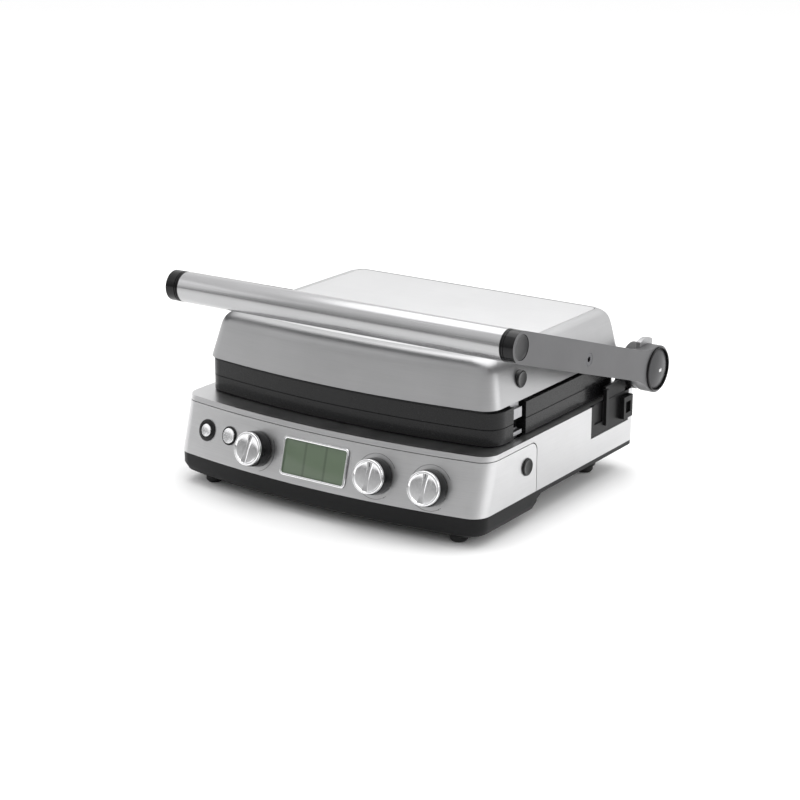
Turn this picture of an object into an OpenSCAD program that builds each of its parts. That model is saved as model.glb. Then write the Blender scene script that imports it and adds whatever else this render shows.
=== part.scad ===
/* [Base] */
// Width of the base across its sides
base_w = 374; // [350:5:450]
// Depth of the base from the foot of its front to its rear face
base_d = 324; // [270:2:390]
// Height of the bottom of the pan above the table
pan_z = 8; // [7:0.5:10]
// Height of the joint between pan and shell
shell_z = 32; // [31:1:40]
// Height of the top of the shell
shell_top = 90; // [86:1:110]
// Lean of the control face from the vertical
slant = 15.5; // [8:0.5:18]
// Radius of the bow of the base front, seen from above
bow_r = 1020; // [900:10:2000]
// Radius of the front corners
corner_front = 18; // [14:1:24]
// Radius of the rear corners
corner_rear = 12; // [11:1:16]
// Thickness of the steel skins
skin_t = 1.2; // [0.8:0.1:1.5]
// Thickness of the moulded walls
mould_t = 2.5; // [2:0.1:3]

/* [Control face] */
// Drop of the fascia's upper seam below the top of the shell
seam_drop = 6; // [5:0.5:12]
// Distance of the fascia's side ends from the base front
fascia_reach = 119.5; // [112:0.5:130]
// Width of the seams between the skins
seam_gap = 0.7; // [0.3:0.1:1]
// Distance of the start button from the left side
start_in = 39.3; // [32:0.1:44]
// Distance of the sear button from the left side
sear_in = 72; // [66:0.5:76]
// Distance of the selector knob from the left side
select_in = 112.5; // [106:0.5:116]
// Distance of the heat knob from the right side
heat_in = 115.7; // [110:0.1:118]
// Distance of the time knob from the right side
time_in = 56.1; // [50:0.1:60]
// Slope height of the knobs above the foot of the face
knob_u = 26.2; // [25:0.1:28]
// Slope height of the buttons above the foot of the face
key_u = 32.3; // [28:0.1:36]
// Radius of the chrome knob caps
knob_r = 17.2; // [14:0.1:17.5]
// Length of the knobs out of the face
knob_len = 17.5; // [14:0.5:22]
// Radius of the knob stems
stem_r = 3; // [2.5:0.1:3.5]
// Radius of the button caps
key_r = 8; // [6:0.1:8.5]
// Radius of the start button's ring
start_ring_r = 11.4; // [10.5:0.1:12.5]
// Radius of the sear button's ring
sear_ring_r = 9.8; // [9.7:0.1:10.4]
// Travel of the buttons
key_travel = 1.5; // [1:0.1:2]
// Width of the display window
lcd_w = 75; // [60:1:80]
// Height of the display window along the face
lcd_h = 34.5; // [28:0.5:36]
// Place of the middle of the display across the face
lcd_x = -1.5; // [-8:0.5:2]

/* [Plates] */
// Width of the ledge beside the grill plates
side_ledge = 10; // [9:0.5:15]
// Distance of the plates behind the foot of the base front
plate_back = 42.5; // [38:0.5:50]
// Distance of the plates in front of the base's rear face
plate_front = 25; // [24.5:0.5:40]
// Gap between the base's shell and the lower plate
base_gap = 1; // [0.6:0.1:2]
// Gap between the closed plate rims
plate_gap = 0.4; // [0.3:0.1:1]
// Height of one plate with its skirt
plate_h = 16.4; // [15:0.2:18]
// Width of the plates' rims
rim_w = 14; // [12.5:0.5:20]
// Depth of the cooking faces below the rims
cook_drop = 4; // [3.5:0.1:6]
// Height of the grill ribs
rib_h = 3; // [2:0.1:3.3]
// Spacing of the grill ribs
rib_pitch = 14; // [12:0.5:20]
// Radius of the heater tubes
heater_r = 3.2; // [2.5:0.1:3.3]

/* [Lid] */
// Distance of the lid's sides behind the plates' sides
lid_side_in = 1; // [0.5:0.5:4]
// Height of the lid's shell
lid_h = 47.2; // [44:0.5:60]
// Gap between the upper plate and the lid's shell
lid_gap = 3.3; // [2.6:0.1:5]
// Distance of the lid's rear wall in front of the base's rear face
lid_rear_in = 14; // [13:0.5:30]
// Distance of the lid's front behind the foot of the base front
lid_front_in = 38.4; // [34:0.2:50]
// Height of the arm pivots above the lid's lower edge
pivot_up = 29.5; // [26:0.5:32]
// Distance of the arm pivots in front of the base's rear face
pivot_in = 146; // [120:1:170]

/* [Handle and hinge] */
// Distance of the arms' outer faces from the base's sides
arm_reach = 23; // [22.6:0.2:35]
// Thickness of the arms
arm_t = 14; // [12:0.5:18]
// Thickness of the arms at the handle
arm_tip_t = 9.8; // [8:0.1:11]
// Height of the arms
arm_h = 32; // [28:0.5:34]
// Radius of the handle tube
tube_r = 15.95; // [13:0.05:16]
// Distance of the handle behind the foot of the base front
handle_back = 48.8; // [40:0.2:60]
// Height of the handle's axis above the lid
handle_up = 24.8; // [22:0.2:40]
// Height of the hinge axis above the parting of the plates
hub_up = 3.7; // [3:0.1:8]
// Distance of the hinge axis behind the base's rear face
hub_back = 1.2; // [0:0.1:4]
// Radius of the arm hubs
hub_r = 25; // [23:0.5:27]
// Radius of the hinge shaft
shaft_r = 6; // [5:0.1:7]
// Radial clearance of the shaft, screws and knob stems in their bores
run_fit = 0.05; // [0.02:0.01:0.09]
// Widest turn of the arms ahead of the lid
float_turn = 8; // [4:0.5:10]
// Radius of the release buttons on the sides
release_r = 8.8; // [7:0.1:9]
// Travel of the release buttons
release_travel = 3; // [2:0.1:3]

/* [Tray and feet] */
// Width of the drip tray
tray_w = 220; // [180:2:240]
// Length of the drip tray
tray_l = 128; // [100:1:135]
// Height of the drip tray
tray_h = 14; // [10:0.5:14]
// Lift of the pan's underside behind the front sled, at the sides
heel_up = 19; // [12:0.5:20]
// Lift of the pan's underside behind the front sled, in the middle
belly_up = 6; // [4:0.5:7]
// Radius of the rubber feet
foot_r = 9; // [7:0.5:12]
// Radius of the opening of the cord's inlet
inlet_r = 4; // [3:0.1:5]

/* [Hidden] */
$fn = 64;
eps = 0.01;

function sag(r, x) = r - sqrt(r * r - x * x);
function spot(c, r, a) = c + r * [cos(a), sin(a)];
function arc(c, r, a0, a1, n) = [for (i = [0:n]) spot(c, r, a0 + (a1 - a0) * i / n)];

// Closed outline with a bowed front at yf, a straight rear at yr and four round corners
function bowed(hw, yf, yr, rb, rf, rr) =
    let (
        turn = asin((hw - rf) / (rb - rf)),
        cf = [hw - rf, yf + rb - (rb - rf) * cos(turn)],
        cr = [hw - rr, yr - rr]
    )
    concat(
        arc([0, yf + rb], rb, -90 - turn, -90 + turn, 16),
        arc(cf, rf, -90 + turn, 0, 7),
        arc(cr, rr, 0, 90, 6),
        arc([-cr[0], cr[1]], rr, 90, 180, 6),
        arc([-cf[0], cf[1]], rf, 180, 270 - turn, 7)
    );

base_hw = base_w / 2;
knob_foot_r = knob_r + 1.3;
cap_chamfer = 1.2;
cap_h = 3.6;
start_x = start_in - base_hw;
sear_x = sear_in - base_hw;
select_x = select_in - base_hw;
heat_x = base_hw - heat_in;
time_x = base_hw - time_in;
seam_z = shell_top - seam_drop;
face_h = (shell_top - shell_z) / cos(slant);
// The knobs stand furthest out in front and the hubs furthest out behind
nose = (knob_len - sag(bow_r, heat_x)) * cos(slant) - (knob_u - knob_r + cap_chamfer) * sin(slant);
tail = hub_back + hub_r;
y_rear = (nose + base_d + tail) / 2 - tail;
y_front = y_rear - base_d;
hub_y = y_rear + hub_back;
handle_y = y_front + handle_back;

// Shell and pan
fascia_end = y_front + fascia_reach;
fascia_round = 10;
plate_hw = base_hw - side_ledge;
well_hw = plate_hw - 2.5;
well_in = 13.4;
well_front = y_front + plate_back + 3;
well_rear = y_rear - plate_front - 3;
pan_in = 12;
floor_z = pan_z + mould_t;
notch_y0 = y_rear - 96;
notch_y1 = y_rear - 17;
notch_z = shell_top - 34;
heel_y = y_front + 126;
heel_z = pan_z + heel_up;
belly_z = pan_z + belly_up;
belly_hw = tray_w / 2 + 7;

// Plates and what heats them
plate_yf = y_front + plate_back;
plate_yr = y_rear - plate_front;
plate_bow = bow_r - 80;
lower_z0 = shell_top + base_gap;
parting_z = lower_z0 + plate_h + plate_gap / 2;
upper_z1 = parting_z + plate_gap / 2 + plate_h;
web_t = 5;
back_depth = plate_h - cook_drop - web_t;
cook_hw = plate_hw - rim_w;
cook_y0 = plate_yf + rim_w;
cook_y1 = plate_yr - rim_w;
back_w = rim_w + 2;
rib_n = floor((2 * cook_hw - 24) / rib_pitch);
rib_t = 3.2;
spout_hw = 16;
leg_n = 4;
leg_pitch = 50;
leg_hw = 115;
terminal_x = -leg_hw - 30;
terminal_r = heater_r + 1;
terminal_h = 22;
leg_y = (plate_yf + plate_yr) / 2 - leg_pitch * (leg_n - 1) / 2;
lower_tube_z = lower_z0 + back_depth - heater_r - 0.3;
upper_tube_z = upper_z1 - back_depth + heater_r + 0.3;
tray_drop = 9;

// Lid
lid_z = upper_z1 + lid_gap;
lid_top = lid_z + lid_h;
lid_corner_front = 19;
lid_corner_rear = 13;
panel_corner = 7;
lid_hw = plate_hw - lid_side_in;
lid_yf = y_front + lid_front_in;
lid_yr = y_rear - lid_rear_in;
pivot_y = y_rear - pivot_in;
pivot_z = lid_z + pivot_up;
lid_draft = 13;
lid_lean = (lid_h - 14.2) * tan(lid_draft);
pivot_wall_x = lid_hw - pivot_up * tan(lid_draft);
// Level above the lower edge, inset of front and sides, inset of the rear
lid_levels = [
    [0, 0, 0], [lid_h - 24.7, lid_lean - 10.5 * tan(lid_draft), 1.5], [lid_h - 14.2, lid_lean, 2.4],
    [lid_h - 6.7, lid_lean + 2.8, 3.6], [lid_h - 1.9, lid_lean + 7.4, 6], [lid_h, lid_lean + 13, 10.5]
];
panel_in = 25;
panel_t = 1.2;
lid_skin = 2.7;

// Latches and their buttons
latch_y0 = plate_yf + 48.8;
latch_y1 = latch_y0 + 22.7;
clip_l = 15.5;
upper_key_up = 19.8;
upper_key = [latch_y0 + 19.7, lid_z + upper_key_up];
lower_key = [latch_y0 + 9.4, shell_top - 27.3];
upper_wall_x = lid_hw - upper_key_up * tan(lid_draft);
latch_in = 6.5;
strip_in = 12;
strip_t = 1.5;
pocket_x = plate_hw - latch_in - strip_t - release_travel - 0.5;

// Arms and hinge
arm_out = base_hw + arm_reach;
hub_z = parting_z + hub_up;
handle_z = lid_top + handle_up;
arm_in = arm_out - arm_t;
tip_in = arm_out - arm_tip_t;
collar_l = 5.5;
tube_end = tip_in - collar_l;
arm_vec = [handle_y - hub_y, handle_z - hub_z];
arm_len = norm(arm_vec);
arm_turn = atan2(arm_vec[1], arm_vec[0]);
flare_r = 80;
flare_u = sqrt((hub_r + flare_r) * (hub_r + flare_r) - (arm_h / 2 + flare_r) * (arm_h / 2 + flare_r));
flare_a = atan2(arm_h / 2 + flare_r, flare_u);
rear_web_x = base_hw - 9;
knuckle_out = arm_in - 0.3;
knuckle_in = base_hw - 4;
knuckle_r = hub_r - 0.5;
cam_x0 = arm_out - 9.4;
cam_t = 4.9;
cam_r = 12;
lug_r = 16;
lug_w = 8;
cap_x0 = arm_out - 4;
cap_r = hub_r - 3.2;
ring_r = hub_r - 1.4;
screw_r = 4;
screw_head_r = 6.8;
boss_r = 9;

// Tray, feet and inlet
tray_z0 = belly_z + mould_t + 0.5;
foot_x = base_hw - 35;
foot_y = [y_front + 34, y_rear - 45];
chute_w = 40;
chute_y0 = plate_yr + 3;
chute_y1 = y_rear - 4;
inlet_x = base_hw - 65;
inlet_z = shell_z + 26;
post_x = base_hw - 40;
post_y = [y_front + 69, y_rear - 30];
post_z = [pan_z, heel_z];
leg_r = 11.5;
stud_r = 4;
base_screw_r = 2;
base_head_r = 4;

// Moves children to the leaning frame of the control face: X across, Z up the slope
module face_frame() {
    translate([0, y_front, shell_z]) rotate([-slant, 0, 0]) children();
}

// Moves children to a point of the bowed face, with Z along the outward normal
module face_at(x, u) {
    face_frame() translate([0, bow_r, u]) rotate([0, 0, asin(x / bow_r)])
        translate([0, -bow_r, 0]) rotate([90, 0, 0]) children();
}

module at_knobs() {
    for (x = [select_x, heat_x, time_x]) face_at(x, knob_u) children();
}

module at_keys() {
    for (x = [start_x, sear_x]) face_at(x, key_u) children();
}

module at_display() {
    face_at(lcd_x, knob_u + 0.6) children();
}

module on_both_sides() {
    children();
    mirror([1, 0, 0]) children();
}

// Cylinder along X from x0 to x1 with its axis at y, z
module rod_x(x0, x1, y, z, r) {
    translate([x0, y, z]) rotate([0, 90, 0]) cylinder(r = r, h = x1 - x0);
}

module box(x, y, z) {
    translate([x[0], y[0], z[0]]) cube([x[1] - x[0], y[1] - y[0], z[1] - z[0]]);
}

// Plan outline extruded between two heights
module slab(points, z0, z1) {
    translate([0, 0, z0]) linear_extrude(z1 - z0) polygon(points);
}

// Y, Z outline extruded along X between x0 and x1
module side_slab(points, x0, x1) {
    translate([x0, 0, 0]) rotate([90, 0, 90]) linear_extrude(x1 - x0) polygon(points);
}

// Block of the base between two heights, set in by an inset on every side
module base_block(inset, z0, z1) {
    intersection() {
        face_frame() translate([0, 0, -40])
            linear_extrude(face_h + 80 + (base_d + 60) * tan(slant))
                polygon(bowed(base_hw - inset, inset, base_d + 60, bow_r - inset, corner_front - inset, 5));
        slab(bowed(base_hw - inset, y_front - 80, y_rear - inset, 9000, 5, corner_rear - inset), z0, z1);
    }
}

module base_skin() {
    difference() {
        base_block(0, shell_z, shell_top);
        base_block(skin_t, shell_z - 1, shell_top - skin_t);
    }
}

// Region of the wall that the control fascia takes, grown by a gap
module fascia_zone(grow) {
    y1 = fascia_end + grow;
    z1 = seam_z + grow;
    side_slab(concat(
        [[y_front - 60, shell_z - 2], [y1, shell_z - 2]],
        arc([y1 - fascia_round, z1 - fascia_round], fascia_round, 0, 90, 8),
        [[y_front - 60, z1]]
    ), -base_hw - 2, base_hw + 2);
}

// Slab of the pan, set in from the base's outline
module pan_slab(inset, z0, z1) {
    slab(bowed(base_hw - inset, y_front + inset, y_rear - inset, bow_r, corner_front, corner_rear - 1),
        z0, z1);
}

module pan_outside() {
    lip_in = 0.8;
    hull() {
        pan_slab(lip_in, shell_z - 12, shell_z);
        pan_slab(4, shell_z - 19, shell_z);
        pan_slab(pan_in, pan_z, shell_z);
    }
}

// Space under the pan behind its front sled, grown upwards and inwards by a wall
module pan_underside(wall) {
    z0 = pan_z - 1;
    y1 = y_rear + 1;
    on_both_sides() side_slab([
        [heel_y - 10 - wall, z0], [heel_y - 3 - wall, heel_z - 4], [heel_y + 5 - wall, heel_z + wall],
        [y1, heel_z + wall], [y1, z0]
    ], belly_hw - wall, base_hw + 1);
    side_slab([
        [heel_y - 4 - wall, z0], [heel_y + 2 - wall, belly_z + wall], [y1, belly_z + wall], [y1, z0]
    ], wall - belly_hw, belly_hw - wall);
}

// Places of the base's posts, with each one's lowest height; the children stand at the origin
module at_posts() {
    for (x = [-post_x, post_x], i = [0, 1]) translate([x, post_y[i], post_z[i]]) children();
}

module base_pan() {
    color("#1b1b1c") difference() {
        union() {
            difference() {
                pan_outside();
                hull() {
                    pan_slab(0.8 + mould_t, shell_z - 11, shell_z + 1);
                    pan_slab(pan_in + mould_t, floor_z, shell_z + 1);
                }
            }
            intersection() {
                pan_outside();
                pan_underside(mould_t);
            }
        }
        pan_underside(0);
        box([-tray_w / 2 - 1, tray_w / 2 + 1], [y_rear - 30, y_rear + 1],
            [belly_z + mould_t, tray_z0 + tray_h + 0.5]);
        on_both_sides() {
            translate([foot_x, foot_y[0], pan_z - 1]) cylinder(r = stud_r, h = mould_t + 2);
            translate([foot_x, foot_y[1], pan_z - 1]) cylinder(r = stud_r, h = heel_up + mould_t + 2);
        }
        at_posts() {
            translate([0, 0, -1]) cylinder(r = base_screw_r + 0.2, h = mould_t + 2);
            translate([0, 0, -1]) cylinder(r = base_head_r + 0.2, h = 2.2);
        }
    }
    color("#1b1b1c") on_both_sides() {
        difference() {
            translate([foot_x, foot_y[1], pan_z]) cylinder(r = leg_r, h = heel_up + 1);
            translate([foot_x, foot_y[1], pan_z - 1]) cylinder(r = stud_r, h = heel_up + 4);
            translate([post_x, post_y[1], pan_z - 1]) cylinder(r = base_head_r + 0.5, h = heel_up + 3);
        }
        box([base_hw - 24, base_hw - 15], [y_rear - 48, y_rear - 20], [heel_z + mould_t - 0.5, shell_z]);
        box([tray_w / 2 + 1, tray_w / 2 + 3], [y_rear - tray_l - 4, y_rear - 14],
            [belly_z + mould_t - 0.5, belly_z + mould_t + 8]);
    }
}

module base_shell() {
    color("#b9babb") difference() {
        base_skin();
        fascia_zone(seam_gap);
        slab(bowed(well_hw, well_front, well_rear, plate_bow, 16, 14), shell_top - 5, shell_top + 5);
        on_both_sides() {
            box([base_hw - 4, base_hw + 2], [notch_y0, notch_y1], [notch_z, shell_top + 1]);
            box([rear_web_x - 0.4, knuckle_in + 0.4], [y_rear - 52, y_rear - skin_t - 0.2],
                [shell_top - 3, shell_top + 1]);
            rod_x(rear_web_x - 0.4, base_hw + 1, hub_y, hub_z, knuckle_r + 0.4);
        }
        box([-chute_w / 2 - 0.3, chute_w / 2 + 0.3], [chute_y0 - 0.3, chute_y1 + 0.3],
            [shell_top - 3, shell_top + 1]);
        translate([inlet_x, y_rear + 3, inlet_z]) rotate([90, 0, 0]) cylinder(r = inlet_r + 3, h = 10);
    }
}

module control_fascia() {
    color("#c6c7c8") difference() {
        intersection() {
            base_skin();
            fascia_zone(0);
        }
        at_knobs() translate([0, 0, -6]) cylinder(r = stem_r + 2.2, h = 12);
        at_keys() translate([0, 0, -6]) cylinder(r = key_r + 1.1, h = 12);
        at_display() translate([-lcd_w / 2 - 1.3, -lcd_h / 2 - 1.3, -6]) cube([lcd_w + 2.6, lcd_h + 2.6, 12]);
        rod_x(base_hw - 6, base_hw + 6, lower_key[0], lower_key[1], release_r + 0.3);
    }
}

// Rounded rectangle plate centred on the Z axis
module rounded_plate(w, h, r, z0, z1) {
    translate([0, 0, z0]) linear_extrude(z1 - z0) polygon(concat(
        arc([w / 2 - r, h / 2 - r], r, 0, 90, 5), arc([r - w / 2, h / 2 - r], r, 90, 180, 5),
        arc([r - w / 2, r - h / 2], r, 180, 270, 5), arc([w / 2 - r, r - h / 2], r, 270, 360, 5)
    ));
}

module lcd_bezel() {
    color("#d8d9da") at_display() difference() {
        union() {
            rounded_plate(lcd_w + 5, lcd_h + 5, 4, 0.2, 1.4);
            rounded_plate(lcd_w + 2.4, lcd_h + 2.4, 1, -2.6, 0.4);
        }
        rounded_plate(lcd_w, lcd_h, 2.4, -4, 3);
    }
}

module lcd_window() {
    color("#62715d") at_display() rounded_plate(lcd_w - 0.2, lcd_h - 0.2, 2.3, -1.6, -0.4);
}

module lcd_module() {
    color("#2f4a34") at_display() {
        rounded_plate(lcd_w - 1, lcd_h - 1, 1, -4.6, -1.7);
        rounded_plate(lcd_w + 8, lcd_h + 4, 2, -7, -4.6);
    }
}

module key_ring(r) {
    difference() {
        union() {
            translate([0, 0, 0.3]) cylinder(r = r, h = 1.1);
            translate([0, 0, -1.6]) cylinder(r = key_r + 1, h = 2);
        }
        translate([0, 0, -3]) cylinder(r = key_r + 0.3, h = 6);
    }
}

module key_cap() {
    translate([0, 0, -2]) cylinder(r = key_r, h = 4.2);
    translate([0, 0, -3.9]) cylinder(r = key_r + 1.6, h = 1.9);
    translate([0, 0, -5.4]) cylinder(r = 2.5, h = 1.6);
}

module start_ring() { color("#141414") face_at(start_x, key_u) key_ring(start_ring_r); }
module start_button() { color("#dcdddd") face_at(start_x, key_u) key_cap(); }
module sear_ring() { color("#3a3a3a") face_at(sear_x, key_u) key_ring(sear_ring_r); }
module sear_button() { color("#dcdddd") face_at(sear_x, key_u) key_cap(); }

module key_switches() {
    color("#262a2c") at_keys() {
        translate([0, 0, -8]) cylinder(r = 1.8, h = 8 - 5.6 - key_travel);
        translate([-6, -6, -15]) cube([12, 12, 7]);
        translate([-9, -9, -16.6]) cube([18, 18, 1.6]);
    }
}

module knob_skirt() {
    difference() {
        union() {
            translate([0, 0, 0.6]) cylinder(r1 = knob_foot_r, r2 = knob_r + 0.4, h = knob_len - cap_h - 0.6);
            translate([0, 0, -15.5]) cylinder(r = stem_r, h = 18);
        }
        translate([0, 0, 0.5]) rotate_extrude() polygon([
            [stem_r + 3, 0], [knob_r - 2, 0], [knob_r - 2, knob_len - 10], [stem_r + 3, knob_len - 10]
        ]);
    }
}

module knob_cap() {
    z0 = knob_len - cap_h;
    difference() {
        union() {
            translate([0, 0, z0]) cylinder(r = knob_r, h = cap_h - cap_chamfer);
            translate([0, 0, knob_len - cap_chamfer])
                cylinder(r1 = knob_r, r2 = knob_r - cap_chamfer, h = cap_chamfer);
        }
        difference() {
            translate([0, 0, knob_len - 2]) cylinder(r = knob_r - 2.6, h = 4);
            translate([-2.4, -knob_r, knob_len - 3]) cube([4.8, 2 * knob_r, 6]);
        }
    }
}

module select_knob_skirt() { color("#161616") face_at(select_x, knob_u) knob_skirt(); }
module select_knob_cap() { color("#d9dadb") face_at(select_x, knob_u) knob_cap(); }
module heat_knob_skirt() { color("#161616") face_at(heat_x, knob_u) knob_skirt(); }
module heat_knob_cap() { color("#d9dadb") face_at(heat_x, knob_u) knob_cap(); }
module time_knob_skirt() { color("#161616") face_at(time_x, knob_u) knob_skirt(); }
module time_knob_cap() { color("#d9dadb") face_at(time_x, knob_u) knob_cap(); }

module knob_encoders() {
    color("#3c4043") at_knobs() {
        difference() {
            union() {
                translate([0, 0, -15]) cylinder(r = stem_r + 1.6, h = 14.8);
                translate([-6.5, -6.5, -22]) cube([13, 13, 7.5]);
            }
            translate([0, 0, -16]) cylinder(r = stem_r + run_fit, h = 17);
        }
        translate([-10, -10, -23.6]) cube([20, 20, 1.6]);
    }
}

module control_board() {
    color("#1f5b36") face_frame() {
        box([-150, 150], [38, 39.6], [2, 46]);
        box([-40, 10], [35.5, 38], [10, 34]);
        box([40, 62], [34.5, 38], [14, 30]);
    }
}

module board_carrier() {
    color("#202021") face_frame() {
        box([-155, 155], [39.6, 42], [-1, 48]);
        for (x = [-140, 0, 140]) box([x - 5, x + 5], [41.9, 52], [-2, 46]);
    }
}

module power_board() {
    y0 = y_front + 58;
    board_z = floor_z + 6;
    color("#27613b") box([-120, 90], [y0, y0 + 54], [board_z, board_z + 1.6]);
    color("#1d1d1f") {
        box([-110, -78], [y0 + 12, y0 + 38], [board_z + 1.6, board_z + 20]);
        for (x = [-60, -36]) box([x, x + 16], [y0 + 12, y0 + 34], [board_z + 1.6, board_z + 16]);
        for (x = [-100, 70], y = [y0 + 5, y0 + 48]) translate([x, y, floor_z])
            cylinder(r = 3, h = board_z - floor_z);
    }
}

module rubber_feet() {
    stud_l = [mould_t, heel_up + mould_t];
    color("#111111") for (x = [-foot_x, foot_x], i = [0, 1]) translate([x, foot_y[i], 0]) {
        cylinder(r1 = foot_r - 1.5, r2 = foot_r, h = 2);
        translate([0, 0, 2]) cylinder(r = foot_r, h = pan_z - 2);
        translate([0, 0, pan_z - eps]) cylinder(r = stud_r, h = stud_l[i]);
    }
}

module base_screws() {
    color("#8c8d8f") at_posts() {
        cylinder(r = base_head_r, h = 1.2);
        cylinder(r = base_screw_r, h = 16);
    }
}

// Outline of the opening that both reflectors sit in, set in from the well
function well_outline(inset) =
    bowed(well_hw - inset, well_front + inset, well_rear - inset, plate_bow, 21.4 - inset, 21.4 - inset);

module plate_frame() {
    z1 = lower_z0;
    flange_z = shell_top - 7;
    color("#1a1a1b") difference() {
        union() {
            slab(bowed(well_hw - 0.4, well_front + 0.4, well_rear - 0.4, plate_bow, 16, 14), flange_z, z1);
            slab(bowed(well_hw + 3, well_front - 4, well_rear + 3, plate_bow, 18, 14),
                flange_z, shell_top - skin_t);
            for (x = [-post_x, post_x], i = [0, 1]) translate([x, post_y[i], post_z[i] + mould_t])
                cylinder(r = 5, h = flange_z + 1 - post_z[i] - mould_t);
        }
        slab(well_outline(well_in), shell_top - 8, z1 + 1);
        at_posts() cylinder(r = base_screw_r, h = 17);
        box([pocket_x - 0.5, plate_hw + 3], [latch_y0, latch_y1], [shell_top - 8, z1 + 1]);
    }
}

module heat_tray(z0, up) {
    zf = z0 + (up ? tray_drop : -tray_drop);
    step = up ? -1 : 1;
    difference() {
        slab(well_outline(well_in), min(z0, zf), max(z0, zf));
        slab(well_outline(well_in + 1), min(z0, zf) + step, max(z0, zf) + step);
        for (i = [0, leg_n - 1]) translate([terminal_x, leg_y + i * leg_pitch, zf - 3])
            cylinder(r = terminal_r + 0.6, h = 6);
    }
}

// Two rails across a heat tray, close to the heater's legs
module heater_rails(z0, z1) {
    for (x = [-70, 70]) box([x - 2, x + 2], [leg_y - 10, leg_y + (leg_n - 1) * leg_pitch + 10], [z0, z1]);
}

module lower_reflector() {
    color("#a9abad") {
        heat_tray(lower_z0, false);
        heater_rails(lower_z0 - tray_drop + 0.5, lower_tube_z - heater_r - 0.05);
    }
}

// Heater tube laid in parallel legs, with both ends turned away from the plate; d is 1 for up
module heater_tube(z, d) {
    for (i = [0:leg_n - 1]) {
        outer = i == 0 || i == leg_n - 1;
        rod_x(outer ? terminal_x : -leg_hw, leg_hw, leg_y + i * leg_pitch, z, heater_r);
    }
    for (i = [0:leg_n - 2]) {
        side = i % 2 == 0 ? 1 : -1;
        translate([side * leg_hw, leg_y + (i + 0.5) * leg_pitch, z]) rotate([0, 0, side > 0 ? -90 : 90])
            rotate_extrude(angle = 180) translate([leg_pitch / 2, 0]) circle(r = heater_r - 0.15);
    }
    end_z = d > 0 ? z - heater_r : z - terminal_h;
    for (i = [0, leg_n - 1]) translate([terminal_x, leg_y + i * leg_pitch, end_z])
        cylinder(r = terminal_r, h = terminal_h + heater_r);
}

module lower_heater() { color("#55585b") heater_tube(lower_tube_z, -1); }

// Plate with a skirt, a rim and a ribbed cooking face; up is true when the face looks up
module grill_plate(z0, up) {
    z1 = z0 + plate_h;
    face = up ? z1 - cook_drop : z0 + cook_drop;
    back = up ? z0 : z1 - back_depth;
    rib_z = up ? [face - 0.5, face + rib_h] : [face - rib_h, face + 0.5];
    difference() {
        slab(bowed(plate_hw, plate_yf, plate_yr, plate_bow, 20, 16), z0, z1);
        slab(bowed(cook_hw, cook_y0, cook_y1, plate_bow, 12, 12), up ? face : z0 - 1, up ? z1 + 1 : face);
        slab(bowed(plate_hw - back_w, plate_yf + back_w, plate_yr - back_w, plate_bow, 10, 10),
            up ? back - 1 : back, up ? back + back_depth : z1 + 1);
        box([pocket_x, plate_hw + 1], [latch_y0, latch_y1], [z0 - 1, z1 + 1]);
        if (up) box([-spout_hw, spout_hw], [cook_y1 - 1, plate_yr + 1], [face, z1 + 1]);
    }
    for (i = [0:rib_n]) {
        x = (i - rib_n / 2) * rib_pitch;
        box([x - rib_t / 2, x + rib_t / 2], [cook_y0 + 10, cook_y1 - 10], rib_z);
    }
}

module lower_grill_plate() {
    face = lower_z0 + plate_h - cook_drop;
    color("#161617") {
        grill_plate(lower_z0, true);
        box([-spout_hw, spout_hw], [plate_yr - 0.5, plate_yr + 12], [face - 2, face]);
    }
}

module upper_grill_plate() { color("#161617") grill_plate(parting_z + plate_gap / 2, false); }

module lower_release_button() {
    color("#151515") {
        rod_x(base_hw - 2, base_hw + 2.2, lower_key[0], lower_key[1], release_r);
        rod_x(base_hw - 4.8, base_hw - 2, lower_key[0], lower_key[1], release_r + 1.4);
        rod_x(plate_hw - latch_in + 0.5, base_hw - 4, lower_key[0], lower_key[1], 3);
    }
}

module lower_latch() {
    x0 = plate_hw - latch_in;
    color("#c9cacc") {
        box([x0 - strip_t, x0], [latch_y0 + 1, latch_y0 + 1 + clip_l], [lower_key[1] - 5, lower_z0 + 8]);
        box([x0 - eps, plate_hw - 1], [latch_y0 + 1, latch_y0 + 1 + clip_l], [lower_z0 + 3, lower_z0 + 7]);
        rod_x(x0 - 1, x0 + 3, lower_key[0], lower_key[1], 5);
    }
}

module grease_chute() {
    color("#1a1a1b") difference() {
        box([-chute_w / 2, chute_w / 2], [chute_y0, chute_y1], [shell_z + 1, shell_top + 0.8]);
        box([-chute_w / 2 + 1.8, chute_w / 2 - 1.8], [chute_y0 + 1.8, chute_y1 - 1.8],
            [shell_z, shell_top + 2]);
    }
}

module drip_tray() {
    color("#1d1d1e") difference() {
        union() {
            box([-tray_w / 2, tray_w / 2], [y_rear - tray_l, y_rear - 2], [tray_z0, tray_z0 + tray_h]);
            box([-tray_w / 2 - 4, tray_w / 2 + 4], [y_rear + 0.4, y_rear + 3.2],
                [tray_z0 - 1, tray_z0 + tray_h + 1.6]);
            box([-tray_w / 2, tray_w / 2], [y_rear - 3, y_rear + 1], [tray_z0, tray_z0 + tray_h]);
            box([-40, 40], [y_rear + 3, y_rear + 11], [tray_z0 + 10, tray_z0 + 13]);
        }
        box([-tray_w / 2 + 2, tray_w / 2 - 2], [y_rear - tray_l + 2, y_rear - 2],
            [tray_z0 + 2, tray_z0 + tray_h + 3]);
    }
}

module cord_inlet() {
    color("#121212") translate([inlet_x, y_rear - 5, inlet_z]) rotate([-90, 0, 0]) difference() {
        union() {
            cylinder(r = inlet_r + 3, h = 6);
            translate([0, 0, 5]) cylinder(r = inlet_r + 5, h = 3);
            cylinder(r = inlet_r + 5, h = 3.6);
        }
        translate([0, 0, -1]) cylinder(r = inlet_r, h = 12);
    }
}

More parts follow.
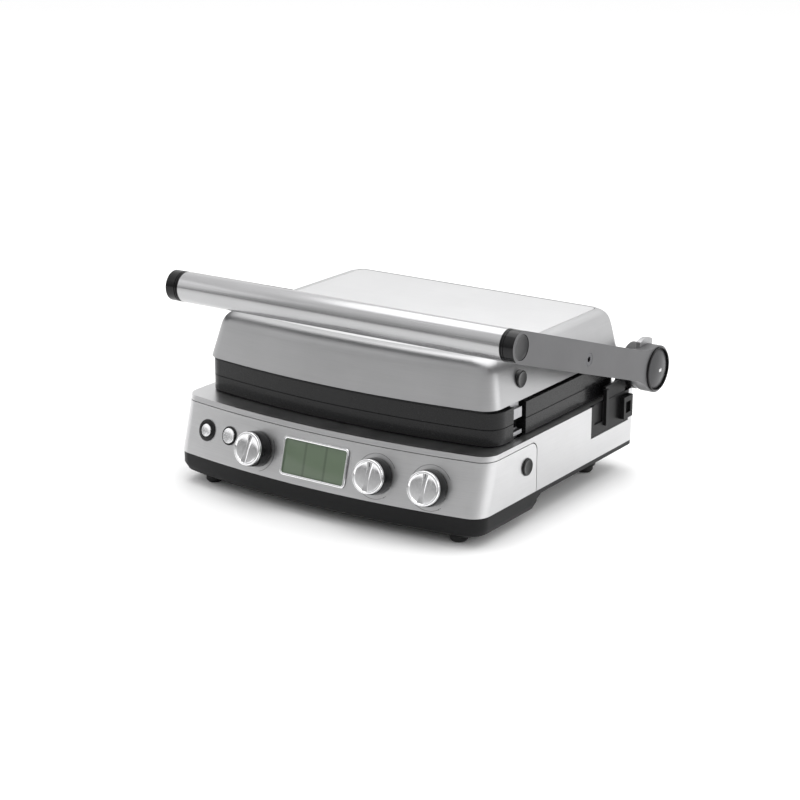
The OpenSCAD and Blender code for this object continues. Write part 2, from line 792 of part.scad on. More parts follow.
// Cast bracket with the hinge knuckle outside and a web standing in the base
module hinge_bracket() {
    color("#77797b") difference() {
        union() {
            rod_x(rear_web_x, knuckle_out - 6, hub_y, hub_z, knuckle_r);
            rod_x(knuckle_out - 6, knuckle_out, hub_y, hub_z, shaft_r + 5);
            side_slab([
                [y_rear - 50, shell_z + 4], [y_rear - 6, shell_z + 4], [y_rear - 6, shell_top + 1],
                [hub_y + 14, hub_z - 12], [hub_y - 10, hub_z + 18], [y_rear - 50, shell_top - 6]
            ], rear_web_x, knuckle_in);
            box([base_hw - 24, knuckle_in], [y_rear - 48, y_rear - 16], [shell_z, shell_z + 5]);
        }
        rod_x(rear_web_x - 1, knuckle_out + 1, hub_y, hub_z, shaft_r + run_fit);
    }
}

module hinge_bracket_right() { hinge_bracket(); }
module hinge_bracket_left() { mirror([1, 0, 0]) hinge_bracket(); }

// Black housing in the side cut-out, with a guide post and a stop block
module hinge_tower() {
    x1 = base_hw - 0.2;
    color("#1c1d1e") {
        difference() {
            box([x1 - 3.4, x1], [notch_y0 + 0.4, notch_y1 - 0.4], [notch_z + 0.4, shell_top - 0.2]);
            box([x1 - 2, x1 + 1], [notch_y0 + 7, notch_y0 + 24], [notch_z + 13, shell_top + 1]);
        }
        box([x1 - 1, x1 + 3], [notch_y0 + 26, notch_y0 + 31], [notch_z + 8, hub_z - 9]);
        box([x1 - 3.4, x1 - 0.6], [notch_y0 + 30, hub_y - knuckle_r - 1], [shell_top - 0.5, hub_z - 7]);
    }
    color("#6d6f71") difference() {
        box([x1 - 0.5, x1 + 5.5], [notch_y0 + 60, notch_y1 - 0.4], [notch_z + 6, hub_z - knuckle_r - 1]);
        box([x1 + 2, x1 + 7], [notch_y0 + 64, notch_y0 + 74], [notch_z + 12, notch_z + 24]);
    }
}

module hinge_tower_right() { hinge_tower(); }
module hinge_tower_left() { mirror([1, 0, 0]) hinge_tower(); }

module hinge_shaft() {
    color("#9a9c9e") rod_x(-cam_x0 - cam_t, cam_x0 + cam_t, hub_y, hub_z, shaft_r);
}

module shaft_collars() {
    color("#8a8c8e") on_both_sides() difference() {
        rod_x(rear_web_x - 5.4, rear_web_x - 0.4, hub_y, hub_z, shaft_r + 3.5);
        rod_x(rear_web_x - 7, rear_web_x + 1, hub_y, hub_z, shaft_r);
    }
}

// Lug of a float cam, turned about the hinge and grown by a gap
module cam_lug(turn, grow) {
    translate([0, hub_y, hub_z]) rotate([turn, 0, 0])
        box([cam_x0 - grow, cam_x0 + cam_t + grow], [-lug_w / 2 - grow, lug_w / 2 + grow],
            [-lug_r - grow, -shaft_r - 2]);
}

module float_cams() {
    color("#8f9193") on_both_sides() difference() {
        union() {
            rod_x(cam_x0, cam_x0 + cam_t, hub_y, hub_z, cam_r);
            cam_lug(0, 0);
        }
        rod_x(cam_x0 - 1, cam_x0 + cam_t + 1, hub_y, hub_z, shaft_r);
    }
}

// Arm outline in its own frame: hub at the origin, handle along +X
function arm_points(h) = concat(
    arc([flare_u, h / 2 + flare_r], flare_r, 180 + flare_a, 270, 10),
    arc([arm_len, 0], h / 2, 90, -90, 20),
    arc([flare_u, -h / 2 - flare_r], flare_r, 90, 180 - flare_a, 10)
);

// Arm outline turned into the Y, Z plane and moved to the hub
function arm_outline(h) = [for (p = arm_points(h)) [
    hub_y + p[0] * cos(arm_turn) - p[1] * sin(arm_turn), hub_z + p[0] * sin(arm_turn) + p[1] * cos(arm_turn)
]];

module arm() {
    color("#6f7173") difference() {
        union() {
            side_slab(arm_outline(arm_h), tip_in, arm_out);
            intersection() {
                side_slab(arm_outline(arm_h), arm_in, arm_out);
                box([arm_in - 1, arm_out + 1], [handle_y + arm_h, hub_y + 1], [0, 300]);
            }
            rod_x(arm_in, arm_out, hub_y, hub_z, hub_r);
        }
        rod_x(arm_in - 1, arm_out + 1, hub_y, hub_z, shaft_r + run_fit);
        rod_x(cam_x0 - 0.4, arm_out + 1, hub_y, hub_z, cam_r + 0.5);
        for (i = [0:3]) cam_lug(i * float_turn / 3, 0.4);
        rod_x(cap_x0 - 0.2, arm_out + 1, hub_y, hub_z, ring_r);
        rod_x(arm_in - 1, arm_out + 1, pivot_y, pivot_z, screw_r);
        translate([arm_out - 3, pivot_y, pivot_z]) rotate([0, 90, 0])
            cylinder(r1 = screw_r, r2 = screw_head_r + 0.2, h = 3.01);
        rod_x(arm_out - 2.6, arm_out + 1, handle_y, handle_z, 12.6);
        rod_x(tip_in - 1, arm_out + 1, handle_y, handle_z, 4.2);
    }
}

module arm_right() { arm(); }
module arm_left() { mirror([1, 0, 0]) arm(); }

module handle_tube() {
    color("#bfc0c1") difference() {
        rod_x(-tube_end, tube_end, handle_y, handle_z, tube_r);
        rod_x(-tube_end - 1, tube_end + 1, handle_y, handle_z, tube_r - 1.5);
    }
}

module handle_collars() {
    color("#121213") on_both_sides() difference() {
        union() {
            rod_x(tube_end, tube_end + 1.4, handle_y, handle_z, tube_r + 0.1);
            rod_x(tube_end, tip_in, handle_y, handle_z, tube_r - 0.6);
            rod_x(tube_end + 2.2, tube_end + 3.6, handle_y, handle_z, tube_r + 0.1);
            rod_x(tip_in - 1, tip_in, handle_y, handle_z, tube_r + 0.1);
            rod_x(tube_end - 14, tube_end + 1, handle_y, handle_z, tube_r - 1.5);
        }
        rod_x(tube_end - 15, tip_in + 1, handle_y, handle_z, 3);
    }
}

module handle_bolts() {
    color("#8c8d8f") on_both_sides() {
        rod_x(tube_end - 12, arm_out - 5.5, handle_y, handle_z, 3);
        rod_x(tip_in, arm_out - 5.5, handle_y, handle_z, 4.2);
        rod_x(arm_out - 5.6, arm_out - 3, handle_y, handle_z, 4.2);
    }
}

module boss_caps() {
    color("#6a6c6e") on_both_sides() rod_x(arm_out - 2.6, arm_out - 0.5, handle_y, handle_z, 12.5);
}

module pivot_screws() {
    color("#4b4d4f") on_both_sides() difference() {
        union() {
            rod_x(pivot_wall_x - 4, arm_out - 2.8, pivot_y, pivot_z, screw_r);
            translate([arm_out - 3, pivot_y, pivot_z]) rotate([0, 90, 0])
                cylinder(r1 = screw_r, r2 = screw_head_r, h = 2.8);
        }
        translate([arm_out - 4.5, pivot_y, pivot_z]) rotate([0, 90, 0]) cylinder(r = 2.9, h = 6, $fn = 6);
    }
}

module hub_rings() {
    color("#121212") on_both_sides() difference() {
        rod_x(cap_x0, arm_out + 2, hub_y, hub_z, ring_r - 0.1);
        rod_x(cap_x0 - 1, arm_out + 3, hub_y, hub_z, cap_r + 0.1);
    }
}

module hub_caps() {
    dome = 60;
    color("#7b7d7f") on_both_sides() intersection() {
        rod_x(cap_x0, arm_out + 4, hub_y, hub_z, cap_r);
        translate([arm_out + 3.4 - dome, hub_y, hub_z]) sphere(r = dome, $fn = 96);
    }
}

module release_lever() {
    x0 = knuckle_out - 5.8;
    pad_r = hub_r + 6.4;
    hub = [hub_y, hub_z];
    pad = concat(arc(hub, pad_r, 62, 112, 10), [spot(hub, hub_r - 2, 124), spot(hub, hub_r - 2, 50)]);
    color("#8b8d8f") difference() {
        union() {
            rod_x(x0, knuckle_out - 0.2, hub_y, hub_z, hub_r - 1);
            side_slab(pad, x0, knuckle_out - 0.2);
        }
        rod_x(x0 - 1, knuckle_out + 1, hub_y, hub_z, shaft_r + 5.3);
    }
}

// Outline of the lid at one level, set in at the front and sides and less at the rear
function lid_outline(v, inset) = bowed(
    lid_hw - v[1] - inset, lid_yf + v[1] + inset, lid_yr - v[2] - inset, plate_bow,
    lid_corner_front + v[1] / 6, lid_corner_rear + v[1] / 6
);

// Hull of the lid outlines from the lower edge to the top, all set in by an inset
module lid_block(inset, z_drop, z_low) {
    hull() for (v = lid_levels) {
        z = lid_z + (v[0] == 0 ? z_low : v[0] - z_drop);
        slab(lid_outline(v, inset), z, z + eps);
    }
}

// Outline of the sunk panel in the lid's top, set in by a gap
function panel_outline(gap) = bowed(
    lid_hw - panel_in - gap, lid_yf + panel_in + 2 + gap, lid_yr - panel_in + 14 - gap, plate_bow,
    panel_corner - gap, panel_corner - gap
);

module lid_shell() {
    color("#bfc0c2") difference() {
        lid_block(0, 0, 0);
        lid_block(1.5, lid_skin, -1);
        slab(panel_outline(0), lid_top - panel_t - 0.1, lid_top + 1);
        on_both_sides() rod_x(pivot_wall_x - 12, lid_hw + 2, pivot_y, pivot_z, boss_r + 0.1);
        rod_x(upper_wall_x - 12, lid_hw + 2, upper_key[0], upper_key[1], release_r + 0.3);
    }
}

module lid_top_panel() {
    color("#d2d3d4") slab(panel_outline(seam_gap), lid_top - panel_t - 0.1, lid_top - 0.1);
}

module lid_under_frame() {
    color("#151516") difference() {
        union() {
            slab(bowed(lid_hw - 3.5, lid_yf + 3.5, lid_yr - 5, plate_bow, 18, 14), upper_z1, lid_z);
            slab(bowed(lid_hw - 5, lid_yf + 5, lid_yr - 6, plate_bow, 16, 14), lid_z - 0.5, lid_z + 2.4);
        }
        slab(well_outline(well_in), upper_z1 - 1, lid_z + 4);
        box([plate_hw - strip_in - release_travel - 0.5, plate_hw - 3], [latch_y0, latch_y1],
            [upper_z1 - 1, lid_z + 4]);
    }
}

module lid_pivot_bosses() {
    color("#5d5f61") on_both_sides() difference() {
        union() {
            rod_x(pivot_wall_x - 7.5, arm_in - 0.4, pivot_y, pivot_z, boss_r);
            box([pivot_wall_x - 7.5, pivot_wall_x - 4.5], [pivot_y - 12, pivot_y + 12],
                [lid_z + 2.4, pivot_z + 5]);
        }
        rod_x(pivot_wall_x - 4.5, arm_out, pivot_y, pivot_z, screw_r + run_fit);
    }
}

module upper_reflector() {
    color("#a9abad") {
        heat_tray(upper_z1, true);
        heater_rails(upper_tube_z + heater_r + 0.05, upper_z1 + tray_drop - 0.5);
    }
}

module upper_heater() { color("#55585b") heater_tube(upper_tube_z, 1); }

module upper_release_button() {
    color("#151515") {
        rod_x(upper_wall_x - 4, upper_wall_x + 3, upper_key[0], upper_key[1], release_r);
        rod_x(plate_hw - strip_in + 0.5, upper_wall_x - 3, upper_key[0], upper_key[1], 3);
    }
}

module upper_latch() {
    x0 = plate_hw - strip_in;
    x1 = plate_hw - latch_in;
    clip_y = [latch_y0 + 1, latch_y0 + 1 + clip_l];
    low = upper_z1 - 13.5;
    color("#c9cacc") {
        box([x0, x0 + strip_t], [clip_y[0], latch_y1 - 1.2], [upper_z1 + 1, upper_key[1] + 4]);
        box([x0, x1 + strip_t], clip_y, [upper_z1 + 0.5, upper_z1 + 2]);
        box([x1, x1 + strip_t], clip_y, [low, upper_z1 + 2]);
        box([x1, plate_hw - 1], clip_y, [low, upper_z1 - 3]);
    }
}

base_pan();
base_shell();
control_fascia();
lcd_bezel();
lcd_window();
lcd_module();
start_ring();
start_button();
sear_ring();
sear_button();
key_switches();
select_knob_skirt();
select_knob_cap();
heat_knob_skirt();
heat_knob_cap();
time_knob_skirt();
time_knob_cap();
knob_encoders();
control_board();
board_carrier();
power_board();
rubber_feet();
base_screws();
plate_frame();
lower_reflector();
lower_heater();
lower_grill_plate();
lower_release_button();
lower_latch();
grease_chute();
drip_tray();
cord_inlet();
hinge_bracket_left();
hinge_bracket_right();
hinge_tower_left();
hinge_tower_right();
hinge_shaft();
shaft_collars();
float_cams();
arm_left();
arm_right();
handle_tube();
handle_collars();
handle_bolts();
boss_caps();
pivot_screws();
hub_rings();
hub_caps();
release_lever();
lid_shell();
lid_top_panel();
lid_under_frame();
lid_pivot_bosses();
upper_reflector();
upper_heater();
upper_grill_plate();
upper_release_button();
upper_latch();
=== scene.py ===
"""Looks of a contact grill: brushed steel base and lid, cast arms, tube handle, dials and a display."""
import logging
import math
from dataclasses import dataclass, field
from enum import Enum
from typing import Iterable, Sequence

import bmesh
import bpy
from mathutils import Matrix, Vector


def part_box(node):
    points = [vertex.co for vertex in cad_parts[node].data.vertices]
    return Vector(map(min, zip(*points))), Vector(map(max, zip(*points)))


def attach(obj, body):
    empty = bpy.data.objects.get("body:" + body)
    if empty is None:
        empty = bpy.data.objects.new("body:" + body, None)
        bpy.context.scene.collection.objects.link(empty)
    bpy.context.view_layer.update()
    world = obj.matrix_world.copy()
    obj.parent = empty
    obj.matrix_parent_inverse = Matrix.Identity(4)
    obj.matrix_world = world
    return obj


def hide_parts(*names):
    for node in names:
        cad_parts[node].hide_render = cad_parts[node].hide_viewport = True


logging.basicConfig(level=logging.INFO, format="%(name)s: %(message)s")
LOG = logging.getLogger("contact_grill")

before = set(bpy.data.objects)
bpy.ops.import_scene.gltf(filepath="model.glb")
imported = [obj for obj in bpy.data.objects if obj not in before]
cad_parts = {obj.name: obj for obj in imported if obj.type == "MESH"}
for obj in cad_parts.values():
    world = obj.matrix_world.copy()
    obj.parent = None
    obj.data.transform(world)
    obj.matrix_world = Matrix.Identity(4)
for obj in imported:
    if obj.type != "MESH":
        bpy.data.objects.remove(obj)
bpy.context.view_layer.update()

MM = 0.001
SELECT_X, HEAT_X, TIME_X = -74.5, 71.3, 130.9
Point = tuple[float, float, float]
Ring = list[Vector]


class Axis(Enum):
    """Direction in which a turned piece is built."""

    X = Matrix.Rotation(math.radians(90), 4, "Y")
    Z = Matrix.Identity(4)


# ---------------------------------------------------------------- finishes


@dataclass(frozen=True)
class Finish:
    """A procedural surface: base colour, gloss, and a grain that drives roughness, tint and bump.

    Attributes:
        name: Name of the material.
        colour: Linear base colour.
        metallic: 0 for plastics and rubber, 1 for bare metal.
        roughness: Middle of the roughness range.
        swing: How far the grain moves the roughness to either side.
        grain: Grain cycles per metre along X, Y and Z.
        tint: How far the grain lightens and darkens the colour.
        cloud: How far slow blotches lighten and darken the colour.
        bump: Height of the grain in metres.
        coat: Weight of a clear coat.
        detail: Octaves of the grain.
        specular: Strength of the sheen of a bare plastic or rubber.
    """

    name: str
    colour: Point
    metallic: float
    roughness: float
    swing: float
    grain: Point
    tint: float = 0.1
    cloud: float = 0.05
    bump: float = 0.00002
    coat: float = 0.0
    detail: float = 5.0
    specular: float = 0.5

    def material(self) -> bpy.types.Material:
        """Builds the material once and returns it afterwards.

        Returns:
            The Blender material.
        """
        known = bpy.data.materials.get(self.name)
        if known is not None:
            return known
        mat = bpy.data.materials.new(self.name)
        mat.use_nodes = True
        tree = mat.node_tree
        shader = tree.nodes["Principled BSDF"]
        shader.inputs["Metallic"].default_value = self.metallic
        shader.inputs["Coat Weight"].default_value = self.coat
        shader.inputs["Coat Roughness"].default_value = 0.08
        shader.inputs["Specular IOR Level"].default_value = self.specular
        coords = tree.nodes.new("ShaderNodeTexCoord")
        grain = self._noise(tree, coords, self.grain, self.detail)
        cloud = self._noise(tree, coords, (16.0, 16.0, 16.0), 3.0)
        rough = tree.nodes.new("ShaderNodeMapRange")
        rough.inputs["From Min"].default_value = 0.3
        rough.inputs["From Max"].default_value = 0.7
        rough.inputs["To Min"].default_value = max(0.02, self.roughness - self.swing)
        rough.inputs["To Max"].default_value = min(1.0, self.roughness + self.swing)
        tree.links.new(grain, rough.inputs["Value"])
        tree.links.new(rough.outputs["Result"], shader.inputs["Roughness"])
        fine = self._blend(tree, grain, self.tint)
        slow = self._blend(tree, cloud, self.cloud)
        both = tree.nodes.new("ShaderNodeMix")
        both.data_type = "RGBA"
        both.blend_type = "MULTIPLY"
        both.inputs["Factor"].default_value = 1.0
        tree.links.new(fine, both.inputs["A"])
        tree.links.new(slow, both.inputs["B"])
        paint = tree.nodes.new("ShaderNodeMix")
        paint.data_type = "RGBA"
        paint.blend_type = "MULTIPLY"
        paint.inputs["Factor"].default_value = 1.0
        paint.inputs["B"].default_value = (*self.colour, 1.0)
        tree.links.new(both.outputs["Result"], paint.inputs["A"])
        tree.links.new(paint.outputs["Result"], shader.inputs["Base Color"])
        bump = tree.nodes.new("ShaderNodeBump")
        bump.inputs["Strength"].default_value = 1.0
        bump.inputs["Distance"].default_value = self.bump
        tree.links.new(grain, bump.inputs["Height"])
        tree.links.new(bump.outputs["Normal"], shader.inputs["Normal"])
        return mat

    @staticmethod
    def _noise(
        tree: bpy.types.NodeTree, coords: bpy.types.Node, scale: Point, detail: float
    ) -> bpy.types.NodeSocket:
        """Adds a noise on Object coordinates and returns its value socket.

        Args:
            tree: Node tree to build in.
            coords: Texture Coordinate node.
            scale: Cycles per metre along X, Y and Z.
            detail: Octaves of the noise.

        Returns:
            The socket that holds the noise, about 0.3 to 0.7.
        """
        mapping = tree.nodes.new("ShaderNodeMapping")
        mapping.inputs["Scale"].default_value = scale
        noise = tree.nodes.new("ShaderNodeTexNoise")
        noise.inputs["Scale"].default_value = 1.0
        noise.inputs["Detail"].default_value = detail
        noise.inputs["Roughness"].default_value = 0.62
        tree.links.new(coords.outputs["Object"], mapping.inputs["Vector"])
        tree.links.new(mapping.outputs["Vector"], noise.inputs["Vector"])
        return noise.outputs["Fac"]

    @staticmethod
    def _blend(
        tree: bpy.types.NodeTree, value: bpy.types.NodeSocket, spread: float
    ) -> bpy.types.NodeSocket:
        """Turns a noise into a grey that multiplies the colour.

        Args:
            tree: Node tree to build in.
            value: Noise socket.
            spread: Half of the range of the grey around one.

        Returns:
            The grey's socket.
        """
        ramp = tree.nodes.new("ShaderNodeMapRange")
        ramp.inputs["From Min"].default_value = 0.3
        ramp.inputs["From Max"].default_value = 0.7
        ramp.inputs["To Min"].default_value = 1.0 - spread
        ramp.inputs["To Max"].default_value = 1.0 + spread
        tree.links.new(value, ramp.inputs["Value"])
        return ramp.outputs["Result"]


BRUSH_X = (22.0, 22.0, 2400.0)
BRUSH_TOP = (14.0, 1700.0, 1700.0)
CAST_GRAIN = (1400.0, 1400.0, 1400.0)
FINE_GRAIN = (900.0, 900.0, 900.0)
# The five brushed-steel finishes below are copies of one steel. Their base colours were set paler and darker part by
# part to match how brightly each part is lit, so the differences between them are painted light and painted shade.
STEEL_FRONT = Finish("brushed_steel_front", (0.54, 0.54, 0.545), 1.0, 0.33, 0.04, BRUSH_X, 0.05, 0.03, 0.000004)
STEEL_PANEL = Finish("brushed_steel_panel", (0.58, 0.58, 0.585), 1.0, 0.33, 0.04, BRUSH_X, 0.05, 0.03, 0.000004)
STEEL_LID = Finish("brushed_steel_lid", (0.42, 0.42, 0.425), 1.0, 0.42, 0.04, BRUSH_X, 0.045, 0.03, 0.000004)
STEEL_TOP = Finish("brushed_steel_top", (0.6, 0.6, 0.605), 1.0, 0.38, 0.04, BRUSH_TOP, 0.05, 0.02, 0.000004)
STEEL_TUBE = Finish("brushed_steel_tube", (0.42, 0.42, 0.425), 1.0, 0.24, 0.04, BRUSH_TOP, 0.06, 0.03, 0.000004)
CHROME = Finish("polished_chrome", (0.86, 0.86, 0.87), 1.0, 0.12, 0.05, (260, 260, 260), 0.03, 0.03, 0.000004)
SATIN_CHROME = Finish("satin_chrome", (0.8, 0.8, 0.81), 1.0, 0.24, 0.06, FINE_GRAIN, 0.05, 0.03, 0.000004)
CAST_GREY = Finish("cast_arm_grey", (0.1, 0.1, 0.103), 0.75, 0.4, 0.08, CAST_GRAIN, 0.12, 0.06, 0.00002)
CAST_LIGHT = Finish("cast_light_grey", (0.34, 0.34, 0.345), 0.8, 0.42, 0.08, CAST_GRAIN, 0.1, 0.06, 0.00002)
CAST_DARK = Finish("cast_dark_grey", (0.035, 0.035, 0.036), 0.7, 0.36, 0.08, CAST_GRAIN, 0.1, 0.08, 0.00002)
CAST_HUB = Finish("cast_hub_grey", (0.055, 0.055, 0.057), 0.75, 0.36, 0.07, CAST_GRAIN, 0.1, 0.06, 0.00001)
BLACK_SATIN = Finish("black_satin_moulding", (0.007, 0.007, 0.0075), 0.0, 0.38, 0.08, (1800, 1800, 1800),
                     0.2, 0.1, 0.00002, specular=0.16)
BLACK_GLOSS = Finish("black_gloss_moulding", (0.006, 0.006, 0.0065), 0.0, 0.2, 0.06, (700, 700, 700),
                     0.2, 0.1, 0.000006, 0.12, specular=0.2)
BLACK_ENAMEL = Finish("black_plate_enamel", (0.007, 0.007, 0.0075), 0.0, 0.27, 0.07, (1200, 1200, 1200),
                      0.2, 0.1, 0.00001, 0.1, specular=0.2)
RUBBER = Finish("foot_rubber", (0.01, 0.01, 0.01), 0.0, 0.75, 0.1, FINE_GRAIN, 0.2, 0.1, 0.00005, specular=0.15)
HEATER = Finish("heater_sheath", (0.14, 0.13, 0.13), 0.8, 0.5, 0.12, (400, 400, 400), 0.2, 0.15, 0.00004)
ALUMINIUM = Finish("mill_aluminium", (0.62, 0.62, 0.63), 1.0, 0.38, 0.1, (12, 700, 700), 0.1, 0.08, 0.00001)
ZINC = Finish("zinc_steel", (0.36, 0.36, 0.37), 1.0, 0.36, 0.1, (500, 500, 500), 0.12, 0.1, 0.00001)
DARK_STEEL = Finish("dark_steel", (0.09, 0.09, 0.095), 0.9, 0.3, 0.08, (500, 500, 500), 0.1, 0.1, 0.00001)
BOARD = Finish("varnished_board", (0.02, 0.12, 0.055), 0.0, 0.3, 0.1, (300, 300, 300), 0.2, 0.1, 0.00002)
SWITCH = Finish("switch_moulding", (0.06, 0.065, 0.07), 0.0, 0.5, 0.1, FINE_GRAIN, 0.2, 0.1, 0.00002)
INK = Finish("panel_ink", (0.05, 0.05, 0.055), 0.0, 0.55, 0.08, FINE_GRAIN, 0.1, 0.05, 0.000005, specular=0.2)
LIGHT_INK = Finish("light_ink", (0.62, 0.62, 0.62), 0.0, 0.5, 0.08, FINE_GRAIN, 0.1, 0.05, 0.000005)
DISPLAY = Finish("display_panel", (0.1, 0.14, 0.088), 0.0, 0.35, 0.05, (160, 6, 6), 0.08, 0.04, 0.000002, 0.2,
                 specular=0.25)


# ---------------------------------------------------------------- modelling


class Bench:
    """Edit-mode tools that every sub-assembly models with."""

    @staticmethod
    def clear() -> None:
        """Deselects every object."""
        if bpy.context.object is not None and bpy.context.object.mode != "OBJECT":
            bpy.ops.object.mode_set(mode="OBJECT")
        bpy.ops.object.select_all(action="DESELECT")

    @staticmethod
    def pick(obj: bpy.types.Object) -> None:
        """Makes an object the only selected and active one."""
        Bench.clear()
        obj.select_set(True)
        bpy.context.view_layer.objects.active = obj

    @staticmethod
    def settle(obj: bpy.types.Object, name: str, angle: float = 30.0) -> bpy.types.Object:
        """Bakes an object's place into its mesh, turns its faces outwards and smooths it.

        Args:
            obj: Piece to finish.
            name: Name of the piece and its mesh.
            angle: Edges sharper than this stay sharp, in degrees.

        Returns:
            The same object.
        """
        Bench.pick(obj)
        bpy.ops.object.transform_apply(location=True, rotation=True, scale=True)
        bpy.ops.object.mode_set(mode="EDIT")
        bpy.ops.mesh.select_all(action="SELECT")
        bpy.ops.mesh.normals_make_consistent(inside=False)
        bpy.ops.object.mode_set(mode="OBJECT")
        bpy.ops.object.shade_smooth_by_angle(angle=math.radians(angle))
        obj.name = name
        obj.data.name = name
        return obj

    @staticmethod
    def modifier(obj: bpy.types.Object, kind: str, **settings: object) -> None:
        """Adds a modifier, sets it and applies it.

        Args:
            obj: Piece that the modifier works on.
            kind: Blender's name for the modifier type.
            **settings: Values set on the modifier.
        """
        Bench.pick(obj)
        mod = obj.modifiers.new(kind.lower(), kind)
        for key, value in settings.items():
            setattr(mod, key, value)
        bpy.ops.object.modifier_apply(modifier=mod.name)

    @staticmethod
    def soften(obj: bpy.types.Object, width: float, segments: int = 2, angle: float = 32.0) -> None:
        """Rounds the sharp edges of a piece and weights its normals by face area.

        Args:
            obj: Piece to round.
            width: Width of the rounding in millimetres.
            segments: Steps across the rounding.
            angle: Edges sharper than this are rounded, in degrees.
        """
        Bench.modifier(obj, "BEVEL", width=width * MM, segments=segments, limit_method="ANGLE",
                       angle_limit=math.radians(angle), use_clamp_overlap=True, miter_outer="MITER_ARC",
                       harden_normals=False)
        Bench.pick(obj)
        bpy.ops.object.shade_smooth_by_angle(angle=math.radians(40))
        Bench.modifier(obj, "WEIGHTED_NORMAL", keep_sharp=True, weight=60)

    @staticmethod
    def turned(
        name: str, stations: Sequence[tuple[float, float]], place: Matrix, sides: int = 64
    ) -> bpy.types.Object:
        """Turns a solid: a disc is extruded and resized from one station to the next.

        Args:
            name: Name of the piece.
            stations: Distance along the axis and radius, both in millimetres.
            place: Matrix from the lathe's Z axis to the object's frame, in metres.
            sides: Corners around the axis.

        Returns:
            The finished solid.
        """
        z, radius = stations[0]
        Bench.clear()
        bpy.ops.mesh.primitive_circle_add(vertices=sides, radius=radius * MM, fill_type="NGON", location=(0, 0, z * MM))
        obj = bpy.context.object
        bpy.ops.object.mode_set(mode="EDIT")
        bpy.ops.mesh.select_all(action="SELECT")
        for z_next, r_next in stations[1:]:
            bpy.ops.mesh.extrude_region_move(TRANSFORM_OT_translate={"value": (0, 0, (z_next - z) * MM)})
            k = r_next / radius
            bpy.ops.transform.resize(value=(k, k, 1), center_override=(0, 0, z_next * MM))
            z, radius = z_next, r_next
        bpy.ops.object.mode_set(mode="OBJECT")
        Bench.settle(obj, name)
        obj.data.transform(place)
        return obj

    @staticmethod
    def lofted(name: str, rings: Sequence[Ring], angle: float = 30.0) -> bpy.types.Object:
        """Builds a closed body by extruding an outline from ring to ring.

        Args:
            name: Name of the piece.
            rings: Outlines with equal numbers of points, in metres.
            angle: Edges sharper than this stay sharp, in degrees.

        Returns:
            The finished body.
        """
        Bench.clear()
        bpy.ops.mesh.primitive_circle_add(vertices=len(rings[0]), radius=1.0, fill_type="NGON", location=(0, 0, 0))
        obj = bpy.context.object
        bpy.ops.object.mode_set(mode="EDIT")
        mesh = bmesh.from_edit_mesh(obj.data)
        order = sorted(mesh.verts, key=lambda v: v.index)
        for vert, spot in zip(order, rings[0]):
            vert.co = spot
        bmesh.update_edit_mesh(obj.data)
        bpy.ops.mesh.select_all(action="SELECT")
        before = rings[0]
        for ring in rings[1:]:
            bpy.ops.mesh.extrude_region_move(TRANSFORM_OT_translate={"value": (0, 0, 0)})
            mesh = bmesh.from_edit_mesh(obj.data)
            near = {Bench._key(p): q for p, q in zip(before, ring)}
            for vert in [v for v in mesh.verts if v.select]:
                vert.co = near[Bench._key(vert.co)]
            bmesh.update_edit_mesh(obj.data)
            before = ring
        bpy.ops.object.mode_set(mode="OBJECT")
        return Bench.settle(obj, name, angle)

    @staticmethod
    def _key(point: Vector) -> tuple[int, int, int]:
        """Returns a point rounded to a tenth of a micrometre, as a key."""
        return tuple(round(c * 1e6) for c in point)

    @staticmethod
    def block(name: str, low: Point, high: Point, width: float, segments: int = 2) -> bpy.types.Object:
        """Builds a block between two corners and bevels its edges.

        Args:
            name: Name of the piece.
            low: Lowest corner in millimetres.
            high: Highest corner in millimetres.
            width: Width of the bevel in millimetres.
            segments: Steps across the bevel.

        Returns:
            The finished block.
        """
        a, b = Vector(low) * MM, Vector(high) * MM
        Bench.clear()
        bpy.ops.mesh.primitive_cube_add(size=1.0, location=(a + b) / 2, scale=tuple(b - a))
        obj = bpy.context.object
        bpy.ops.object.transform_apply(location=True, rotation=True, scale=True)
        bpy.ops.object.mode_set(mode="EDIT")
        bpy.ops.mesh.select_all(action="SELECT")
        bpy.ops.mesh.bevel(offset=width * MM, segments=segments, affect="EDGES")
        bpy.ops.object.mode_set(mode="OBJECT")
        return Bench.settle(obj, name)

    @staticmethod
    def copied(node: str, name: str) -> bpy.types.Object:
        """Copies a frame node's mesh and merges its loose triangles into whole faces.

        Args:
            node: Name of the frame node.
            name: Name of the copy.

        Returns:
            The merged copy.
        """
        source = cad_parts[node]
        obj = bpy.data.objects.new(name, source.data.copy())
        obj.data.materials.clear()
        bpy.context.scene.collection.objects.link(obj)
        Bench.pick(obj)
        if obj.data.has_custom_normals:
            bpy.ops.mesh.customdata_custom_splitnormals_clear()
        bpy.ops.object.mode_set(mode="EDIT")
        bpy.ops.mesh.select_all(action="SELECT")
        bpy.ops.mesh.remove_doubles(threshold=0.00002)
        bpy.ops.mesh.dissolve_limited(angle_limit=math.radians(0.6))
        bpy.ops.object.mode_set(mode="OBJECT")
        obj.data.name = name
        return obj

    @staticmethod
    def joined(name: str, pieces: Iterable[bpy.types.Object]) -> bpy.types.Object:
        """Joins several objects into one.

        Args:
            name: Name of the joined piece.
            pieces: Objects to join.

        Returns:
            The joined piece.
        """
        items = list(pieces)
        Bench.clear()
        for item in items:
            item.select_set(True)
        bpy.context.view_layer.objects.active = items[0]
        bpy.ops.object.join()
        items[0].name = name
        items[0].data.name = name
        return items[0]

    @staticmethod
    def mirrored(name: str, obj: bpy.types.Object) -> bpy.types.Object:
        """Copies a piece to the other side of the middle plane.

        Args:
            name: Name of the copy.
            obj: Piece to mirror.

        Returns:
            The mirrored copy, with faces turned outwards.
        """
        other = bpy.data.objects.new(name, obj.data.copy())
        bpy.context.scene.collection.objects.link(other)
        other.data.transform(Matrix.Scale(-1, 4, (1, 0, 0)))
        other.data.flip_normals()
        other.data.name = name
        return other


